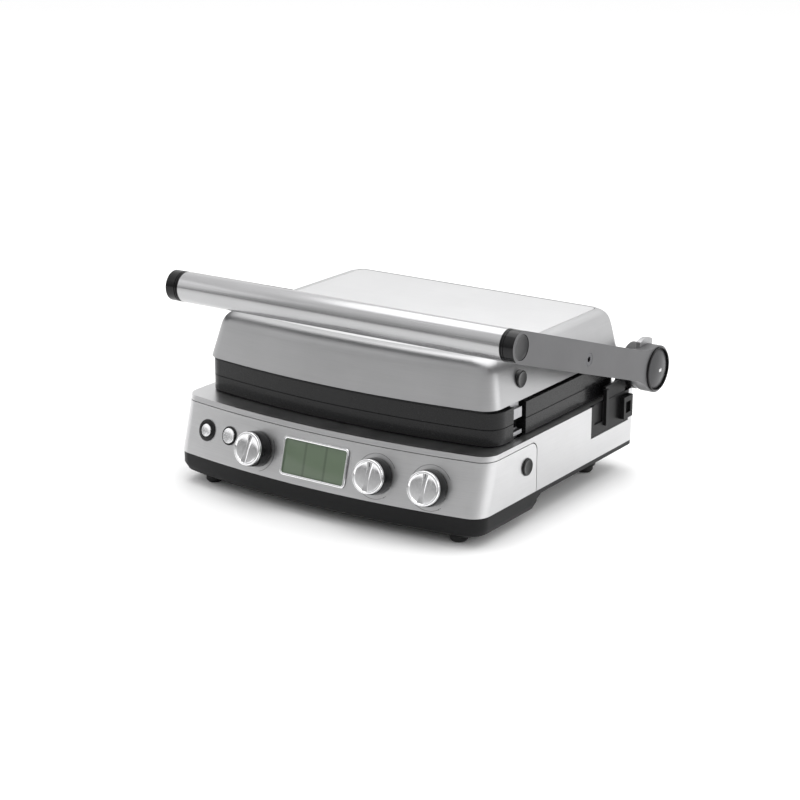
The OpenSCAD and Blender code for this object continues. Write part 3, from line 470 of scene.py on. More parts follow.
class Fitter:
    """Dresses pieces, ties them to bodies and counts them."""

    def __init__(self) -> None:
        """Starts with nothing fitted."""
        self.names: list[str] = []

    def fit(
        self, obj: bpy.types.Object, finish: Finish, body: str, slot: str, *nodes: str
    ) -> bpy.types.Object:
        """Gives a piece its finish and body, and hides what it stands for.

        Args:
            obj: Piece to fit.
            finish: Surface of the piece.
            body: Frame body that it moves with.
            slot: Material slot of the record; not used.
            *nodes: Frame nodes that it replaces.

        Returns:
            The same piece.
        """
        if not obj.data.materials:
            obj.data.materials.append(finish.material())
        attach(obj, body)
        if nodes:
            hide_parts(*nodes)
        self.names.append(obj.name)
        LOG.info("%s rides on %s", obj.name, body)
        return obj

    def refine(
        self, node: str, finish: Finish, body: str, slot: str, width: float = 0.5, segments: int = 2
    ) -> bpy.types.Object:
        """Replaces a frame node by its own shape with rounded edges.

        Args:
            node: Name of the frame node.
            finish: Surface of the piece.
            body: Frame body that it moves with.
            slot: Material slot of the record.
            width: Width of the edge rounding in millimetres.
            segments: Steps across the rounding.

        Returns:
            The fitted piece.
        """
        obj = Bench.copied(node, f"{node}_formed")
        Bench.soften(obj, width, segments)
        return self.fit(obj, finish, body, slot, node)

    @staticmethod
    def dress(finish: Finish, *nodes: str) -> None:
        """Gives frame nodes that stay as they are a finish.

        Args:
            finish: Surface of the nodes.
            *nodes: Names of the frame nodes.
        """
        for node in nodes:
            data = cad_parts[node].data
            data.materials.clear()
            data.materials.append(finish.material())


@dataclass(frozen=True)
class Bow:
    """Closed outline with a bowed front, a straight rear and four round corners, in millimetres.

    Attributes:
        half: Half of the width.
        front: Y of the middle of the front.
        rear: Y of the rear.
        bow: Radius of the front's bow.
        front_r: Radius of the front corners.
        rear_r: Radius of the rear corners.
    """

    half: float
    front: float
    rear: float
    bow: float
    front_r: float
    rear_r: float

    def inset(self, side: float, rear: float | None = None) -> "Bow":
        """Returns the outline set in at the front and sides, and at the rear by its own amount."""
        back = side if rear is None else rear
        return Bow(self.half - side, self.front + side, self.rear - back, self.bow, self.front_r, self.rear_r)

    def round(self, front_r: float, rear_r: float) -> "Bow":
        """Returns the outline with other corner radii."""
        return Bow(self.half, self.front, self.rear, self.bow, front_r, rear_r)

    def ring(self, z: float) -> Ring:
        """Samples the outline at a height.

        Args:
            z: Height in millimetres.

        Returns:
            Points of the outline in metres, the same number for every outline.
        """
        turn = math.degrees(math.asin((self.half - self.front_r) / (self.bow - self.front_r)))
        cx = self.half - self.front_r
        cy = self.front + self.bow - (self.bow - self.front_r) * math.cos(math.radians(turn))
        rx, ry = self.half - self.rear_r, self.rear - self.rear_r
        parts = (
            (0.0, self.front + self.bow, self.bow, -90 - turn, -90 + turn, 40),
            (cx, cy, self.front_r, -90 + turn, 0.0, 14),
            (rx, ry, self.rear_r, 0.0, 90.0, 12),
            (-rx, ry, self.rear_r, 90.0, 180.0, 12),
            (-cx, cy, self.front_r, 180.0, 270.0 - turn, 14),
        )
        points: Ring = []
        for x, y, r, a0, a1, steps in parts:
            for i in range(steps):
                a = math.radians(a0 + (a1 - a0) * (i + 0.5) / steps)
                points.append(Vector((x + r * math.cos(a), y + r * math.sin(a), z)) * MM)
        return points


# ---------------------------------------------------------------- sub-assemblies


@dataclass
class Layout:
    """Places read from the frame, in millimetres."""

    y_front: float = field(init=False)
    shell_z: float = field(init=False)
    lean: float = math.radians(15.5)
    bow: float = 1020.0

    def __post_init__(self) -> None:
        """Reads the boxes of the frame's nodes."""
        low_f, _ = (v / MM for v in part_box("control_fascia"))
        self.shell_z = low_f.z
        self.y_front = low_f.y

    def on_face(self, x: float, u: float) -> Matrix:
        """Gives the frame of a point of the leaning, bowed control face.

        Args:
            x: Place across the face in millimetres.
            u: Height up the slope in millimetres.

        Returns:
            Matrix whose Z is the outward normal and whose Y runs up the slope, in metres.
        """
        turn = math.asin(x / self.bow)
        lean = Matrix.Rotation(-self.lean, 4, "X")
        foot = Matrix.Translation(Vector((0, self.y_front, self.shell_z)) * MM)
        across = Matrix.Translation(Vector((0, self.bow, u)) * MM) @ Matrix.Rotation(turn, 4, "Z")
        out = Matrix.Translation(Vector((0, -self.bow, 0)) * MM) @ Matrix.Rotation(math.radians(90), 4, "X")
        return foot @ lean @ across @ out


@dataclass
class Base:
    """Pan, steel shell, control fascia, feet and what stands between base and plates."""

    lay: Layout
    fitter: Fitter

    def build(self) -> None:
        """Builds every piece of the base that shows."""
        fit = self.fitter
        fit.refine("base_pan", BLACK_SATIN, "base", "black_plastic", 0.8)
        fit.refine("base_shell", STEEL_FRONT, "base", "brushed_shell", 0.5)
        fit.refine("control_fascia", STEEL_PANEL, "base", "brushed_panel", 0.35)
        fit.refine("plate_frame", BLACK_SATIN, "base", "black_plastic", 0.5)
        fit.refine("hinge_tower_left", BLACK_SATIN, "base", "black_plastic", 0.3)
        fit.refine("hinge_tower_right", BLACK_SATIN, "base", "black_plastic", 0.3)
        fit.refine("hinge_bracket_left", CAST_DARK, "base", "cast_grey", 0.6)
        fit.refine("hinge_bracket_right", CAST_DARK, "base", "cast_grey", 0.6)
        fit.refine("drip_tray", BLACK_SATIN, "drip_tray", "black_plastic", 0.6)
        fit.refine("cord_inlet", BLACK_SATIN, "base", "black_plastic", 0.4)
        fit.refine("grease_chute", BLACK_SATIN, "base", "black_plastic", 0.3)
        self._feet()
        fit.dress(ZINC, "base_screws")
        fit.dress(BOARD, "control_board", "power_board")
        fit.dress(SWITCH, "knob_encoders", "key_switches", "board_carrier")
        fit.dress(ALUMINIUM, "lower_reflector")
        fit.dress(HEATER, "lower_heater")

    def _feet(self) -> None:
        """Turns the four rubber feet, the rear ones on long studs."""
        low, high = (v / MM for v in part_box("rubber_feet"))
        r = 9.0
        feet = []
        for x in (low.x + r, high.x - r):
            for y, top in ((low.y + r, 10.4), (high.y - r, high.z - 0.1)):
                stations = [(0, 6.2), (0.3, 7.0), (1.0, 7.6), (2.2, 8.6), (3.2, 8.95), (8.0, 8.95),
                            (8.0, 4.0), (top, 3.9)]
                feet.append(Bench.turned("foot", stations, Matrix.Translation(Vector((x, y, 0)) * MM), 48))
        self.fitter.fit(Bench.joined("rubber_feet_turned", feet), RUBBER, "base", "foot_rubber", "rubber_feet")


@dataclass
class Controls:
    """Knobs, push buttons, display and printed scales of the control face."""

    lay: Layout
    fitter: Fitter
    knob_u: float = 26.2
    key_u: float = 32.3
    knob_r: float = 17.2
    knob_len: float = 17.5
    cap_h: float = 3.6

    def build(self) -> None:
        """Builds the knobs, buttons, display and scales."""
        for name, x, turn in (("select", SELECT_X, -12.0), ("heat", HEAT_X, -4.0), ("time", TIME_X, -4.0)):
            self._knob(name, x, turn)
        self._scales()
        self._button("start", -147.7, 11.4, 6.7, BLACK_GLOSS)
        self._button("sear", -115.0, 9.8, 8.0, BLACK_GLOSS)
        self._display()

    def _knob(self, name: str, x: float, turn: float) -> None:
        """Turns a knob's skirt and cap and sets the grip ridge on it.

        Args:
            name: Name of the knob.
            x: Place across the face in millimetres.
            turn: Rest angle of the ridge in degrees.
        """
        place = self.lay.on_face(x, self.knob_u)
        r, top = self.knob_r, self.knob_len
        seam = top - self.cap_h
        skirt = Bench.turned(f"{name}_knob_skirt_turned", [
            (-15.5, 3.0), (0.6, 3.0), (0.6, r + 1.0), (1.0, r + 1.3), (1.8, r + 1.3), (seam - 1.2, r + 0.5),
            (seam - 0.4, r + 0.2), (seam, r - 0.4)
        ], place, 96)
        self.fitter.fit(skirt, BLACK_GLOSS, f"{name}_knob", "gloss_black", f"{name}_knob_skirt")
        cap = Bench.turned(f"{name}_knob_dish", [
            (seam, r - 0.6), (seam + 0.2, r), (top - 1.1, r), (top - 0.5, r - 0.25), (top - 0.1, r - 0.7), (top, r - 1.1),
            (top, r - 1.8), (top - 0.3, r - 2.2), (top - 1.4, r - 3.0), (top - 1.7, r - 4.4), (top - 1.7, 2.0)
        ], Axis.Z.value, 96)
        ridge = Bench.block(f"{name}_ridge", (-3.1, -r + 1.9, top - 3.2), (3.1, r - 1.9, top - 0.05), 1.2, 4)
        self._hollow(ridge, top)
        knob = Bench.joined(f"{name}_knob_cap_turned", [cap, ridge])
        mark = Bench.block(f"{name}_pointer", (-0.35, r - 7.5, top - 0.4), (0.35, r - 2.6, top + 0.02), 0.1, 1)
        spin = Matrix.Rotation(math.radians(turn), 4, "Z")
        for piece in (knob, mark):
            piece.data.transform(place @ spin)
        self.fitter.fit(knob, CHROME, f"{name}_knob", "chrome_trim", f"{name}_knob_cap")
        mark.name = f"{name}_knob_pointer"
        self.fitter.fit(mark, INK, f"{name}_knob", "gloss_black")

    @staticmethod
    def _hollow(ridge: bpy.types.Object, top: float) -> None:
        """Lets the ridge's waist in so that its long sides are hollow.

        Args:
            ridge: Ridge block, still on the lathe's axis.
            top: Height of its top in millimetres.
        """
        Bench.pick(ridge)
        bpy.ops.object.mode_set(mode="EDIT")
        bpy.ops.mesh.select_all(action="SELECT")
        bpy.ops.mesh.subdivide(number_cuts=3)
        bpy.ops.object.mode_set(mode="OBJECT")
        reach = 15.0 * MM
        for vert in ridge.data.vertices:
            along = min(1.0, abs(vert.co.y) / reach)
            vert.co.x *= 0.72 + 0.55 * along * along
            if vert.co.z > (top - 1.8) * MM:
                vert.co.z -= 0.7 * MM * (1.0 - along * along)
        Bench.settle(ridge, ridge.name, 50)

    def _button(self, name: str, x: float, ring_r: float, cap_r: float, ring_finish: Finish) -> None:
        """Turns a push button and its ring.

        Args:
            name: Name of the button.
            x: Place across the face in millimetres.
            ring_r: Outer radius of the ring in millimetres.
            cap_r: Radius of the bright cap in millimetres.
            ring_finish: Surface of the ring.
        """
        place = self.lay.on_face(x, self.key_u)
        hole = cap_r + 0.35
        ring = Bench.turned(f"{name}_ring_turned", [
            (-1.6, hole), (-1.6, 9.0), (0.3, 9.0), (0.3, ring_r), (0.8, ring_r), (1.2, ring_r - 0.25), (1.4, ring_r - 0.6),
            (1.4, hole + 0.4), (1.2, hole + 0.1), (-1.4, hole), (-1.5, hole - 0.05)
        ], place, 72)
        self.fitter.fit(ring, ring_finish, "base", "gloss_black", f"{name}_ring")
        cap = Bench.turned(f"{name}_button_turned", [
            (-5.4, 2.5), (-3.9, 2.5), (-3.9, 9.6), (-2.0, 9.6), (-2.0, cap_r), (1.4, cap_r), (1.9, cap_r - 0.25),
            (2.15, cap_r - 0.8), (2.05, cap_r - 1.6), (1.8, cap_r - 3.2), (1.7, 2.0)
        ], place, 72)
        self.fitter.fit(cap, SATIN_CHROME, f"{name}_button", "chrome_trim", f"{name}_button")

    def _display(self) -> None:
        """Frames the display and lays its dark columns under the window."""
        place = self.lay.on_face(-1.5, self.knob_u + 0.6)
        w, h = 75.0, 34.5
        rings = []
        section = ((1.25, -2.6), (1.25, 0.3), (2.4, 0.3), (2.5, 0.9), (2.2, 1.25), (1.6, 1.4), (0.7, 1.35),
                   (0.3, 1.1), (0.05, 0.4), (0.05, -2.5))
        for dx, z in section:
            rings.append(self._rounded(w / 2 + dx, h / 2 + dx, 2.4 + max(0.0, dx - 0.6), z))
        bezel = self._tube("display_bezel", rings)
        bezel.data.transform(place)
        self.fitter.fit(bezel, CHROME, "base", "chrome_trim", "lcd_bezel")
        pane = Bench.lofted("display_pane", [
            self._rounded(w / 2 - 0.1, h / 2 - 0.1, 2.3, -1.6), self._rounded(w / 2 - 0.1, h / 2 - 0.1, 2.3, -0.5),
            self._rounded(w / 2 - 0.3, h / 2 - 0.3, 2.1, -0.4)
        ])
        pane.data.transform(place)
        pane.data.materials.append(self._pane_material())
        self.fitter.fit(pane, DISPLAY, "base", "display_glass", "lcd_window")
        self.fitter.dress(DISPLAY, "lcd_module")

    @staticmethod
    def _rounded(hw: float, hh: float, r: float, z: float) -> Ring:
        """Samples a rounded rectangle.

        Args:
            hw: Half of its width in millimetres.
            hh: Half of its height in millimetres.
            r: Corner radius in millimetres.
            z: Height in millimetres.

        Returns:
            Its points in metres.
        """
        points: Ring = []
        for cx, cy, a0 in ((hw - r, hh - r, 0), (r - hw, hh - r, 90), (r - hw, r - hh, 180), (hw - r, r - hh, 270)):
            for i in range(9):
                a = math.radians(a0 + 90 * i / 8)
                points.append(Vector((cx + r * math.cos(a), cy + r * math.sin(a), z)) * MM)
        return points

    @staticmethod
    def _tube(name: str, rings: Sequence[Ring]) -> bpy.types.Object:
        """Builds a closed frame from outlines: its two caps are removed and bridged.

        Args:
            name: Name of the piece.
            rings: Outlines of its section, in metres.

        Returns:
            The closed frame.
        """
        obj = Bench.lofted(name, rings)
        Bench.pick(obj)
        bpy.ops.object.mode_set(mode="EDIT")
        mesh = bmesh.from_edit_mesh(obj.data)
        bpy.ops.mesh.select_all(action="DESELECT")
        for face in mesh.faces:
            face.select = len(face.verts) > 4
        mesh.select_flush_mode()
        bmesh.update_edit_mesh(obj.data)
        bpy.ops.mesh.select_mode(type="FACE")
        bpy.ops.mesh.delete(type="ONLY_FACE")
        bpy.ops.mesh.select_mode(type="EDGE")
        bpy.ops.mesh.select_all(action="DESELECT")
        bpy.ops.mesh.select_non_manifold()
        bpy.ops.mesh.bridge_edge_loops()
        bpy.ops.object.mode_set(mode="OBJECT")
        return Bench.settle(obj, name)

    @staticmethod
    def _pane_material() -> bpy.types.Material:
        """Builds the display's surface: grey-green glass with faint darker columns.

        Returns:
            The material.
        """
        mat = DISPLAY.material().copy()
        mat.name = "display_pane_glass"
        tree = mat.node_tree
        shader = tree.nodes["Principled BSDF"]
        shader.inputs["Coat Weight"].default_value = 0.25
        shader.inputs["Coat Roughness"].default_value = 0.06
        coords = tree.nodes.new("ShaderNodeTexCoord")
        split = tree.nodes.new("ShaderNodeSeparateXYZ")
        tree.links.new(coords.outputs["Object"], split.inputs["Vector"])
        ramp = tree.nodes.new("ShaderNodeValToRGB")
        ramp.color_ramp.interpolation = "LINEAR"
        stops = ramp.color_ramp.elements
        stops[0].position, stops[0].color = 0.0, (0.095, 0.135, 0.084, 1)
        stops[1].position, stops[1].color = 1.0, (0.105, 0.145, 0.092, 1)
        columns = ((0.31, 0.95), (0.33, 0.66), (0.345, 0.66), (0.36, 0.95), (0.64, 0.95), (0.66, 0.66),
                   (0.675, 0.66), (0.69, 0.97))
        for spot, level in columns:
            stop = stops.new(spot)
            stop.color = (0.1 * level, 0.14 * level, 0.088 * level, 1)
        scale = tree.nodes.new("ShaderNodeMapRange")
        scale.inputs["From Min"].default_value = -0.0395
        scale.inputs["From Max"].default_value = 0.0365
        tree.links.new(split.outputs["X"], scale.inputs["Value"])
        tree.links.new(scale.outputs["Result"], ramp.inputs["Fac"])
        tree.links.new(ramp.outputs["Color"], shader.inputs["Base Color"])
        return mat

    def _scales(self) -> None:
        """Prints the arcs and the small marks around the knobs."""
        arcs = (("select", SELECT_X, 35.0, 145.0), ("heat", HEAT_X, -50.0, 230.0), ("time", TIME_X, -50.0, 230.0))
        for name, x, a0, a1 in arcs:
            place = self.lay.on_face(x, self.knob_u)
            marks = [self._arc(22.4, 0.32, a0, a1)]
            for a in (a0 - 7.0, a1 + 7.0):
                marks.append(self._dash(22.6, a, 1.6))
            scale = Bench.joined(f"{name}_scale", marks)
            scale.data.transform(place)
            self.fitter.fit(scale, INK, "base", "gloss_black")

    @staticmethod
    def _arc(radius: float, width: float, a0: float, a1: float) -> bpy.types.Object:
        """Spins a thin bar into a printed arc.

        Args:
            radius: Radius of the arc in millimetres.
            width: Width of the line in millimetres.
            a0: Start angle in degrees.
            a1: End angle in degrees.

        Returns:
            The arc, raised by a few hundredths of a millimetre.
        """
        Bench.clear()
        bpy.ops.mesh.primitive_plane_add(size=1.0, location=(radius * MM, 0, 0.03 * MM))
        obj = bpy.context.object
        bpy.ops.object.mode_set(mode="EDIT")
        bpy.ops.mesh.select_all(action="SELECT")
        bpy.ops.transform.resize(value=(width * MM, 0.06 * MM, 1), center_override=(radius * MM, 0, 0.03 * MM))
        bpy.ops.object.mode_set(mode="OBJECT")
        bpy.ops.object.transform_apply(location=True, rotation=True, scale=True)
        obj.data.transform(Matrix.Rotation(math.radians(90), 4, (1, 0, 0)))
        obj.data.transform(Matrix.Translation((0, 0, 0.03 * MM)) @ Matrix.Rotation(math.radians(a0), 4, "Z"))
        Bench.pick(obj)
        bpy.ops.object.mode_set(mode="EDIT")
        bpy.ops.mesh.select_all(action="SELECT")
        bpy.ops.mesh.spin(steps=48, angle=math.radians(a1 - a0), center=(0, 0, 0), axis=(0, 0, 1))
        bpy.ops.object.mode_set(mode="OBJECT")
        return Bench.settle(obj, "arc")

    @staticmethod
    def _dash(radius: float, angle: float, length: float) -> bpy.types.Object:
        """Lays a short printed dash across the end of an arc.

        Args:
            radius: Distance from the knob's axis in millimetres.
            angle: Angle around the knob in degrees.
            length: Length of the dash in millimetres.

        Returns:
            The dash.
        """
        dash = Bench.block("dash", (radius - length / 2, -0.2, 0.01), (radius + length / 2, 0.2, 0.07), 0.02, 1)
        dash.data.transform(Matrix.Rotation(math.radians(angle), 4, "Z"))
        return dash


@dataclass
class Plates:
    """The two grill plates and the small metal parts that hold them."""

    fitter: Fitter

    def build(self) -> None:
        """Builds both plates, their latches and the release buttons."""
        fit = self.fitter
        fit.refine("lower_grill_plate", BLACK_ENAMEL, "base", "coated_cast", 0.9, 3)
        fit.refine("upper_grill_plate", BLACK_ENAMEL, "lid", "coated_cast", 0.9, 3)
        fit.refine("lower_latch", ZINC, "lower_release", "plain_steel", 0.2)
        fit.refine("upper_latch", ZINC, "upper_release", "plain_steel", 0.2)
        self._release("lower_release", "lower_release_button", 2.2)
        self._release("upper_release", "upper_release_button", 3.0)
        fit.dress(ALUMINIUM, "upper_reflector")
        fit.dress(HEATER, "upper_heater")

    def _release(self, body: str, node: str, out: float) -> None:
        """Turns a round release button with a softly dished face.

        Args:
            body: Body that it moves with.
            node: Frame node that it replaces.
            out: How far it stands out of the wall in millimetres.
        """
        low, high = (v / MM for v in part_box(node))
        y, z = (low.y + high.y) / 2, (low.z + high.z) / 2
        r = 8.8
        neck = high.x - low.x
        if body == "lower_release":
            flange = [(neck - out - 4.8, 3.0), (neck - out - 4.8, 10.2), (neck - out - 2.0, 10.2)]
        else:
            flange = [(neck - 7.0, 3.0)]
        stations = [(0.0, 3.0)] + flange + [
            (flange[-1][0], r), (neck - 1.0, r), (neck - 0.35, r - 0.35), (neck, r - 1.1), (neck - 0.1, r - 2.0),
            (neck - 0.55, r - 3.4), (neck - 0.8, 2.5)
        ]
        place = Matrix.Translation(Vector((low.x, y, z)) * MM) @ Axis.X.value
        knob = Bench.turned(f"{node}_turned", stations, place, 64)
        self.fitter.fit(knob, BLACK_GLOSS, body, "gloss_black", node)


@dataclass
class Lid:
    """Pressed steel lid with its sunk panel, pivot bosses and moulded under frame."""

    fitter: Fitter
    draft: float = math.tan(math.radians(13))
    bow: float = 940.0
    height: float = 47.2

    def build(self) -> None:
        """Builds the lid's pieces."""
        low, high = (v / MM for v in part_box("lid_shell"))
        foot = Bow(high.x, low.y, high.y, self.bow, 19.0, 13.0)
        self._shell(foot, low.z, high.z)
        self._panel(foot, high.z)
        self.fitter.refine("lid_under_frame", BLACK_SATIN, "lid", "black_plastic", 0.5)
        self.fitter.refine("lid_pivot_bosses", CAST_DARK, "lid", "plain_steel", 0.4)

    def _levels(self) -> list[tuple[float, float, float]]:
        """Lists the lid's outside: height, set-in of front and sides, set-in of the rear."""
        lean = (self.height - 14.2) * self.draft
        levels = [(0.0, 0.25, 0.25), (0.25, 0.05, 0.05), (self.height - 20.0, (self.height - 20.0) * self.draft, 1.8)]
        marks = ((14.2, 0.0, 2.4), (11.8, 0.7, 2.75), (9.2, 1.65, 3.15), (6.7, 2.85, 3.7), (4.7, 4.3, 4.5), (3.2, 5.8, 5.3),
                 (1.9, 7.6, 6.3), (0.95, 9.6, 7.6), (0.35, 11.6, 9.0), (0.0, 14.0, 11.0))
        for down, side, rear in marks:
            levels.append((self.height - down, lean + side, rear))
        return levels

    def _shell(self, foot: Bow, z0: float, z1: float) -> None:
        """Lofts the lid's skin from its inner ledge over the outside to the rim of the panel.

        Args:
            foot: Outline of the lower edge.
            z0: Height of the lower edge in millimetres.
            z1: Height of the top in millimetres.
        """
        rings = [foot.inset(2.2).ring(z0 + 2.7), foot.inset(2.0).ring(z0 + 0.3), foot.inset(1.7).ring(z0)]
        for up, side, rear in self._levels():
            shape = foot.inset(side, rear).round(19.0 + side / 6, 13.0 + rear / 6)
            rings.append(shape.ring(z0 + up))
        rim = self._rim(foot)
        rings += [rim.inset(-1.2).ring(z1), rim.inset(-0.5).ring(z1 - 0.08), rim.ring(z1 - 0.5), rim.ring(z1 - 1.3)]
        shell = Bench.lofted("lid_shell_pressed", rings, 35)
        Bench.modifier(shell, "WEIGHTED_NORMAL", keep_sharp=True, weight=40)
        self.fitter.fit(shell, STEEL_LID, "lid", "brushed_shell", "lid_shell")

    @staticmethod
    def _rim(foot: Bow) -> Bow:
        """Returns the outline of the panel's seat."""
        return Bow(foot.half - 25.0, foot.front + 27.0, foot.rear - 11.0, foot.bow, 7.0, 7.0)

    def _panel(self, foot: Bow, z1: float) -> None:
        """Lofts the panel that lies in the lid's top.

        Args:
            foot: Outline of the lid's lower edge.
            z1: Height of the top in millimetres.
        """
        seat = self._rim(foot).inset(0.45)
        rings = [seat.ring(z1 - 1.25), seat.ring(z1 - 0.5), seat.inset(0.15).ring(z1 - 0.2),
                 seat.inset(0.6).ring(z1 - 0.1)]
        panel = Bench.lofted("lid_top_panel_pressed", rings, 25)
        self.fitter.fit(panel, STEEL_TOP, "lid", "brushed_panel", "lid_top_panel")


@dataclass
class Handle:
    """Tube handle, its end collars and the two cast arms with their hubs."""

    fitter: Fitter

    def build(self) -> None:
        """Builds the handle, arms, screws and hubs."""
        fit = self.fitter
        for node in ("arm_right", "arm_left"):
            self._paint_tip_shade(fit.refine(node, CAST_GREY, "arms", "cast_grey", 1.1, 3))
        fit.refine("release_lever", CAST_LIGHT, "release_lever", "cast_grey", 0.7, 3)
        fit.refine("pivot_screws", DARK_STEEL, "arms", "plain_steel", 0.25)
        fit.dress(ZINC, "hinge_shaft", "shaft_collars", "float_cams", "handle_bolts")
        self._tube()
        self._collars()
        self._bosses()
        self._hubs()

    @staticmethod
    def _paint_tip_shade(arm: bpy.types.Object) -> None:
        """Paints the rim of an arm black around the handle's end, as painted shade and painted dark reflection on the
        rim there.

        Args:
            arm: Arm whose rim is painted.
        """
        low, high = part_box("handle_tube")
        centre = (low + high) / 2
        # Rim faces near the handle take black gloss as painted shade and painted dark reflection.
        arm.data.materials.append(BLACK_GLOSS.material())
        for face in arm.data.polygons:
            away = face.center - centre
            if abs(face.normal.x) < 0.6 and math.hypot(away.y, away.z) < 0.0225:
                face.material_index = 1

    def _tube(self) -> None:
        """Turns the steel tube."""
        low, high = (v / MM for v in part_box("handle_tube"))
        y, z, r, l = (low.y + high.y) / 2, (low.z + high.z) / 2, (high.z - low.z) / 2, high.x
        stations = [(-l, r - 1.4), (-l, r - 0.4), (-l + 0.15, r - 0.1), (-l + 0.5, r), (l - 0.5, r), (l - 0.15, r - 0.1),
                    (l, r - 0.4), (l, r - 1.4)]
        place = Matrix.Translation(Vector((0, y, z)) * MM) @ Axis.X.value
        tube = Bench.turned("handle_tube_turned", stations, place, 128)
        self.fitter.fit(tube, STEEL_TUBE, "arms", "brushed_tube", "handle_tube")

    def _both(self, node: str, right: bpy.types.Object, finish: Finish, slot: str) -> None:
        """Mirrors a right-hand piece to the left and fits the two as one.

        Args:
            node: Frame node that the two replace.
            right: Piece on the right.
            finish: Surface of both.
            slot: Material slot of the record.
        """
        pair = Bench.joined(f"{node}_turned", [right, Bench.mirrored(f"{node}_left", right)])
        self.fitter.fit(pair, finish, "arms", slot, node)

    def _collars(self) -> None:
        """Turns the black collars with their double groove."""
        low, high = (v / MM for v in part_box("handle_collars"))
        y, z, r = (low.y + high.y) / 2, (low.z + high.z) / 2, (high.z - low.z) / 2
        end = high.x
        start = end - 5.5
        stations = [(start - 14, r - 1.7), (start, r - 1.7), (start, r - 0.3), (start + 0.2, r), (start + 1.2, r),
                    (start + 1.4, r - 0.6), (start + 2.0, r - 0.6), (start + 2.2, r), (start + 3.4, r),
                    (start + 3.6, r - 0.6), (start + 4.3, r - 0.6), (start + 4.5, r), (end - 0.02, r)]
        place = Matrix.Translation(Vector((0, y, z)) * MM) @ Axis.X.value
        right = Bench.turned("collar", stations, place, 96)
        self._both("handle_collars", right, BLACK_GLOSS, "gloss_black")

    def _bosses(self) -> None:
        """Turns the shallow dishes that close the arms at the handle."""
        low, high = (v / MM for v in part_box("boss_caps"))
        y, z = (low.y + high.y) / 2, (low.z + high.z) / 2
        stations = [(high.x - 2.1, 12.5), (high.x - 0.25, 12.5), (high.x, 12.25), (high.x, 11.7), (high.x - 0.35, 11.1),
                    (high.x - 1.0, 9.4), (high.x - 1.35, 7.0), (high.x - 1.5, 3.0)]
        place = Matrix.Translation(Vector((0, y, z)) * MM) @ Axis.X.value
        right = Bench.turned("boss", stations, place, 72)
        self._both("boss_caps", right, CAST_DARK, "cast_grey")

    def _hubs(self) -> None:
        """Turns the black hub rings, the domed caps and the small lock symbol."""
        low, high = (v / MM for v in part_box("hub_rings"))
        y, z = (low.y + high.y) / 2, (low.z + high.z) / 2
        place = Matrix.Translation(Vector((0, y, z)) * MM) @ Axis.X.value
        x1, r = high.x, (high.z - low.z) / 2
        x0 = x1 - 5.0
        low_c, high_c = (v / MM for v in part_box("hub_caps"))
        rc, top = (high_c.z - low_c.z) / 2, high_c.x
        ring = Bench.turned("hub_ring", [
            (x0, r), (x1 - 0.8, r), (x1 - 0.2, r - 0.5), (x1, r - 1.2),
            (x1 - 0.1, rc + 0.9), (x1 - 0.6, rc + 0.2), (x0 + 1, rc + 0.1)
        ], place, 96)
        self._both("hub_rings", ring, BLACK_GLOSS, "gloss_black")
        edge = top - rc * rc / 120.0
        stations = [(top - 7.3, rc), (edge - 0.3, rc), (edge + 0.1, rc - 0.5)]
        for step in range(1, 8):
            radius = (rc - 0.6) * (1 - step / 8.0)
            stations.append((top - radius * radius / 120.0, max(radius, 0.8)))
        cap = Bench.turned("hub_cap", stations, place, 96)
        self._both("hub_caps", cap, CAST_HUB, "cast_grey")
        body = Bench.block("lock_body", (top - 0.12, y - 2.4, z - 2.6), (top + 0.06, y + 2.4, z + 0.6), 0.3, 2)
        bow = Controls._arc(1.9, 0.8, 15, 180)
        bow.data.transform(Matrix.Translation(Vector((top - 0.02, y - 0.4, z + 0.9)) * MM)
                           @ Matrix.Rotation(math.radians(90), 4, "Y") @ Matrix.Rotation(math.radians(90), 4, "Z"))
        self.fitter.fit(Bench.joined("lock_symbol", [body, bow]), LIGHT_INK, "arms", "gloss_black")


# ---------------------------------------------------------------- studio


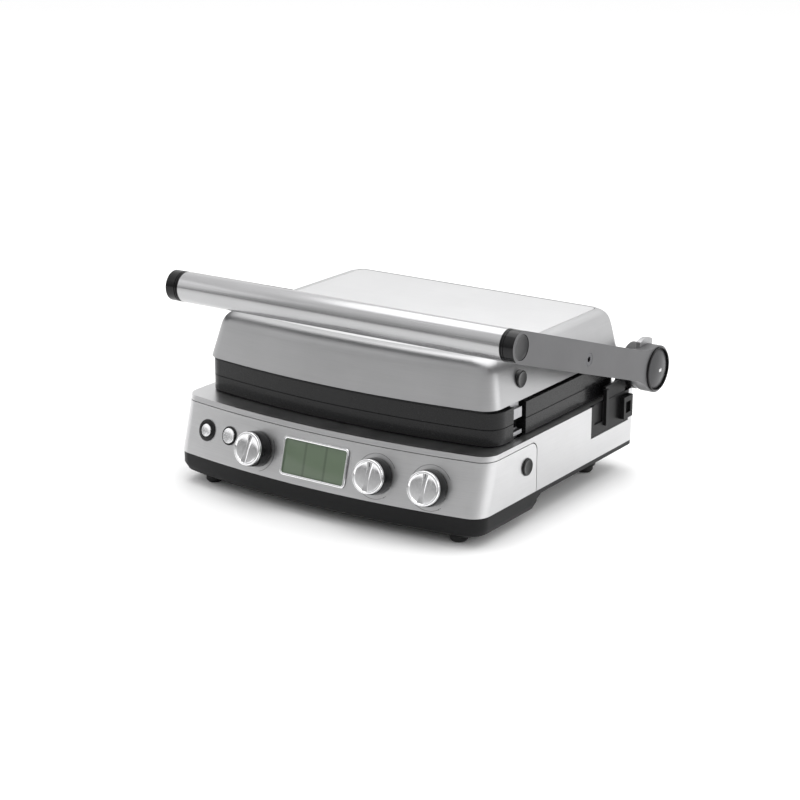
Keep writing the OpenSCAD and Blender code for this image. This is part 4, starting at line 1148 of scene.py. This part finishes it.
@dataclass
class Studio:
    """Floor, light and camera."""

    target: Point = (-0.01318, 0.00483, 0.07658)
    azimuth: float = 34.45
    elevation: float = 17.41
    distance: float = 2.16263
    lens: float = 92.4

    def build(self) -> None:
        """Sets up the floor, world, lights and camera."""
        self._camera()
        self._floor()
        self._world()
        self._softbox("top_box", (0.0, 0.6, 2.2), (0, 0.05, 0.1), 3.0, 2.4, 40.0)
        self._softbox("left_box", (-2.4, -1.0, 1.1), (0, 0, 0.12), 1.6, 1.4, 4.0)
        self._softbox("right_box", (2.2, 0.9, 1.0), (0, 0, 0.12), 1.4, 1.2, 12.0)

    def _camera(self) -> None:
        """Places the camera."""
        az, el = math.radians(self.azimuth), math.radians(self.elevation)
        back = Vector((math.sin(az) * math.cos(el), -math.cos(az) * math.cos(el), math.sin(el)))
        data = bpy.data.cameras.new("studio_camera")
        data.lens = self.lens
        data.sensor_width = 36.0
        data.clip_start = 0.05
        data.clip_end = 60.0
        camera = bpy.data.objects.new("studio_camera", data)
        camera.location = Vector(self.target) + back * self.distance
        camera.rotation_euler = back.to_track_quat("Z", "Y").to_euler()
        bpy.context.scene.collection.objects.link(camera)
        bpy.context.scene.camera = camera

    @staticmethod
    def _floor() -> None:
        """Lays a plain pale floor."""
        Bench.clear()
        bpy.ops.mesh.primitive_plane_add(size=40.0, location=(0, 0, 0))
        floor = bpy.context.object
        floor.name = "studio_floor"
        mat = bpy.data.materials.new("pale_floor")
        mat.use_nodes = True
        shader = mat.node_tree.nodes["Principled BSDF"]
        shader.inputs["Base Color"].default_value = (0.93, 0.93, 0.93, 1)
        shader.inputs["Roughness"].default_value = 0.9
        shader.inputs["Specular IOR Level"].default_value = 0.1
        floor.data.materials.append(mat)

    @staticmethod
    def _world() -> None:
        """Lights the surroundings: bright above and behind, darker low in front."""
        world = bpy.data.worlds.new("studio_world")
        bpy.context.scene.world = world
        world.use_nodes = True
        tree = world.node_tree
        back = tree.nodes["Background"]
        coords = tree.nodes.new("ShaderNodeTexCoord")
        split = tree.nodes.new("ShaderNodeSeparateXYZ")
        tree.links.new(coords.outputs["Generated"], split.inputs["Vector"])
        height = tree.nodes.new("ShaderNodeMapRange")
        height.inputs["From Min"].default_value = 0.0
        height.inputs["From Max"].default_value = 0.75
        tree.links.new(split.outputs["Z"], height.inputs["Value"])
        behind = tree.nodes.new("ShaderNodeMapRange")
        behind.inputs["From Min"].default_value = -0.6
        behind.inputs["From Max"].default_value = 0.5
        behind.inputs["To Min"].default_value = 0.3
        behind.inputs["To Max"].default_value = 1.3
        tree.links.new(split.outputs["Y"], behind.inputs["Value"])
        mix = tree.nodes.new("ShaderNodeMix")
        mix.data_type = "RGBA"
        mix.inputs["B"].default_value = (1.3, 1.3, 1.3, 1)
        tree.links.new(height.outputs["Result"], mix.inputs["Factor"])
        tree.links.new(behind.outputs["Result"], mix.inputs["A"])
        tree.links.new(mix.outputs["Result"], back.inputs["Color"])
        back.inputs["Strength"].default_value = 0.85
        bpy.context.scene.view_settings.view_transform = "Standard"

    @staticmethod
    def _softbox(name: str, spot: Point, aim: Point, width: float, height: float, power: float) -> None:
        """Hangs an area light.

        Args:
            name: Name of the light.
            spot: Place of the light in metres.
            aim: Point that it faces.
            width: Width of the light in metres.
            height: Height of the light in metres.
            power: Power in watts.
        """
        data = bpy.data.lights.new(name, "AREA")
        data.shape = "RECTANGLE"
        data.size = width
        data.size_y = height
        data.energy = power
        light = bpy.data.objects.new(name, data)
        light.location = spot
        light.rotation_euler = (Vector(spot) - Vector(aim)).to_track_quat("Z", "Y").to_euler()
        bpy.context.scene.collection.objects.link(light)


def main() -> None:
    """Builds the studio and every sub-assembly, then reports them."""
    Studio().build()
    lay = Layout()
    fitter = Fitter()
    Base(lay, fitter).build()
    Controls(lay, fitter).build()
    Plates(fitter).build()
    Lid(fitter).build()
    Handle(fitter).build()
    LOG.info("%d pieces fitted", len(fitter.names))


if __name__ == "__main__":
    main()
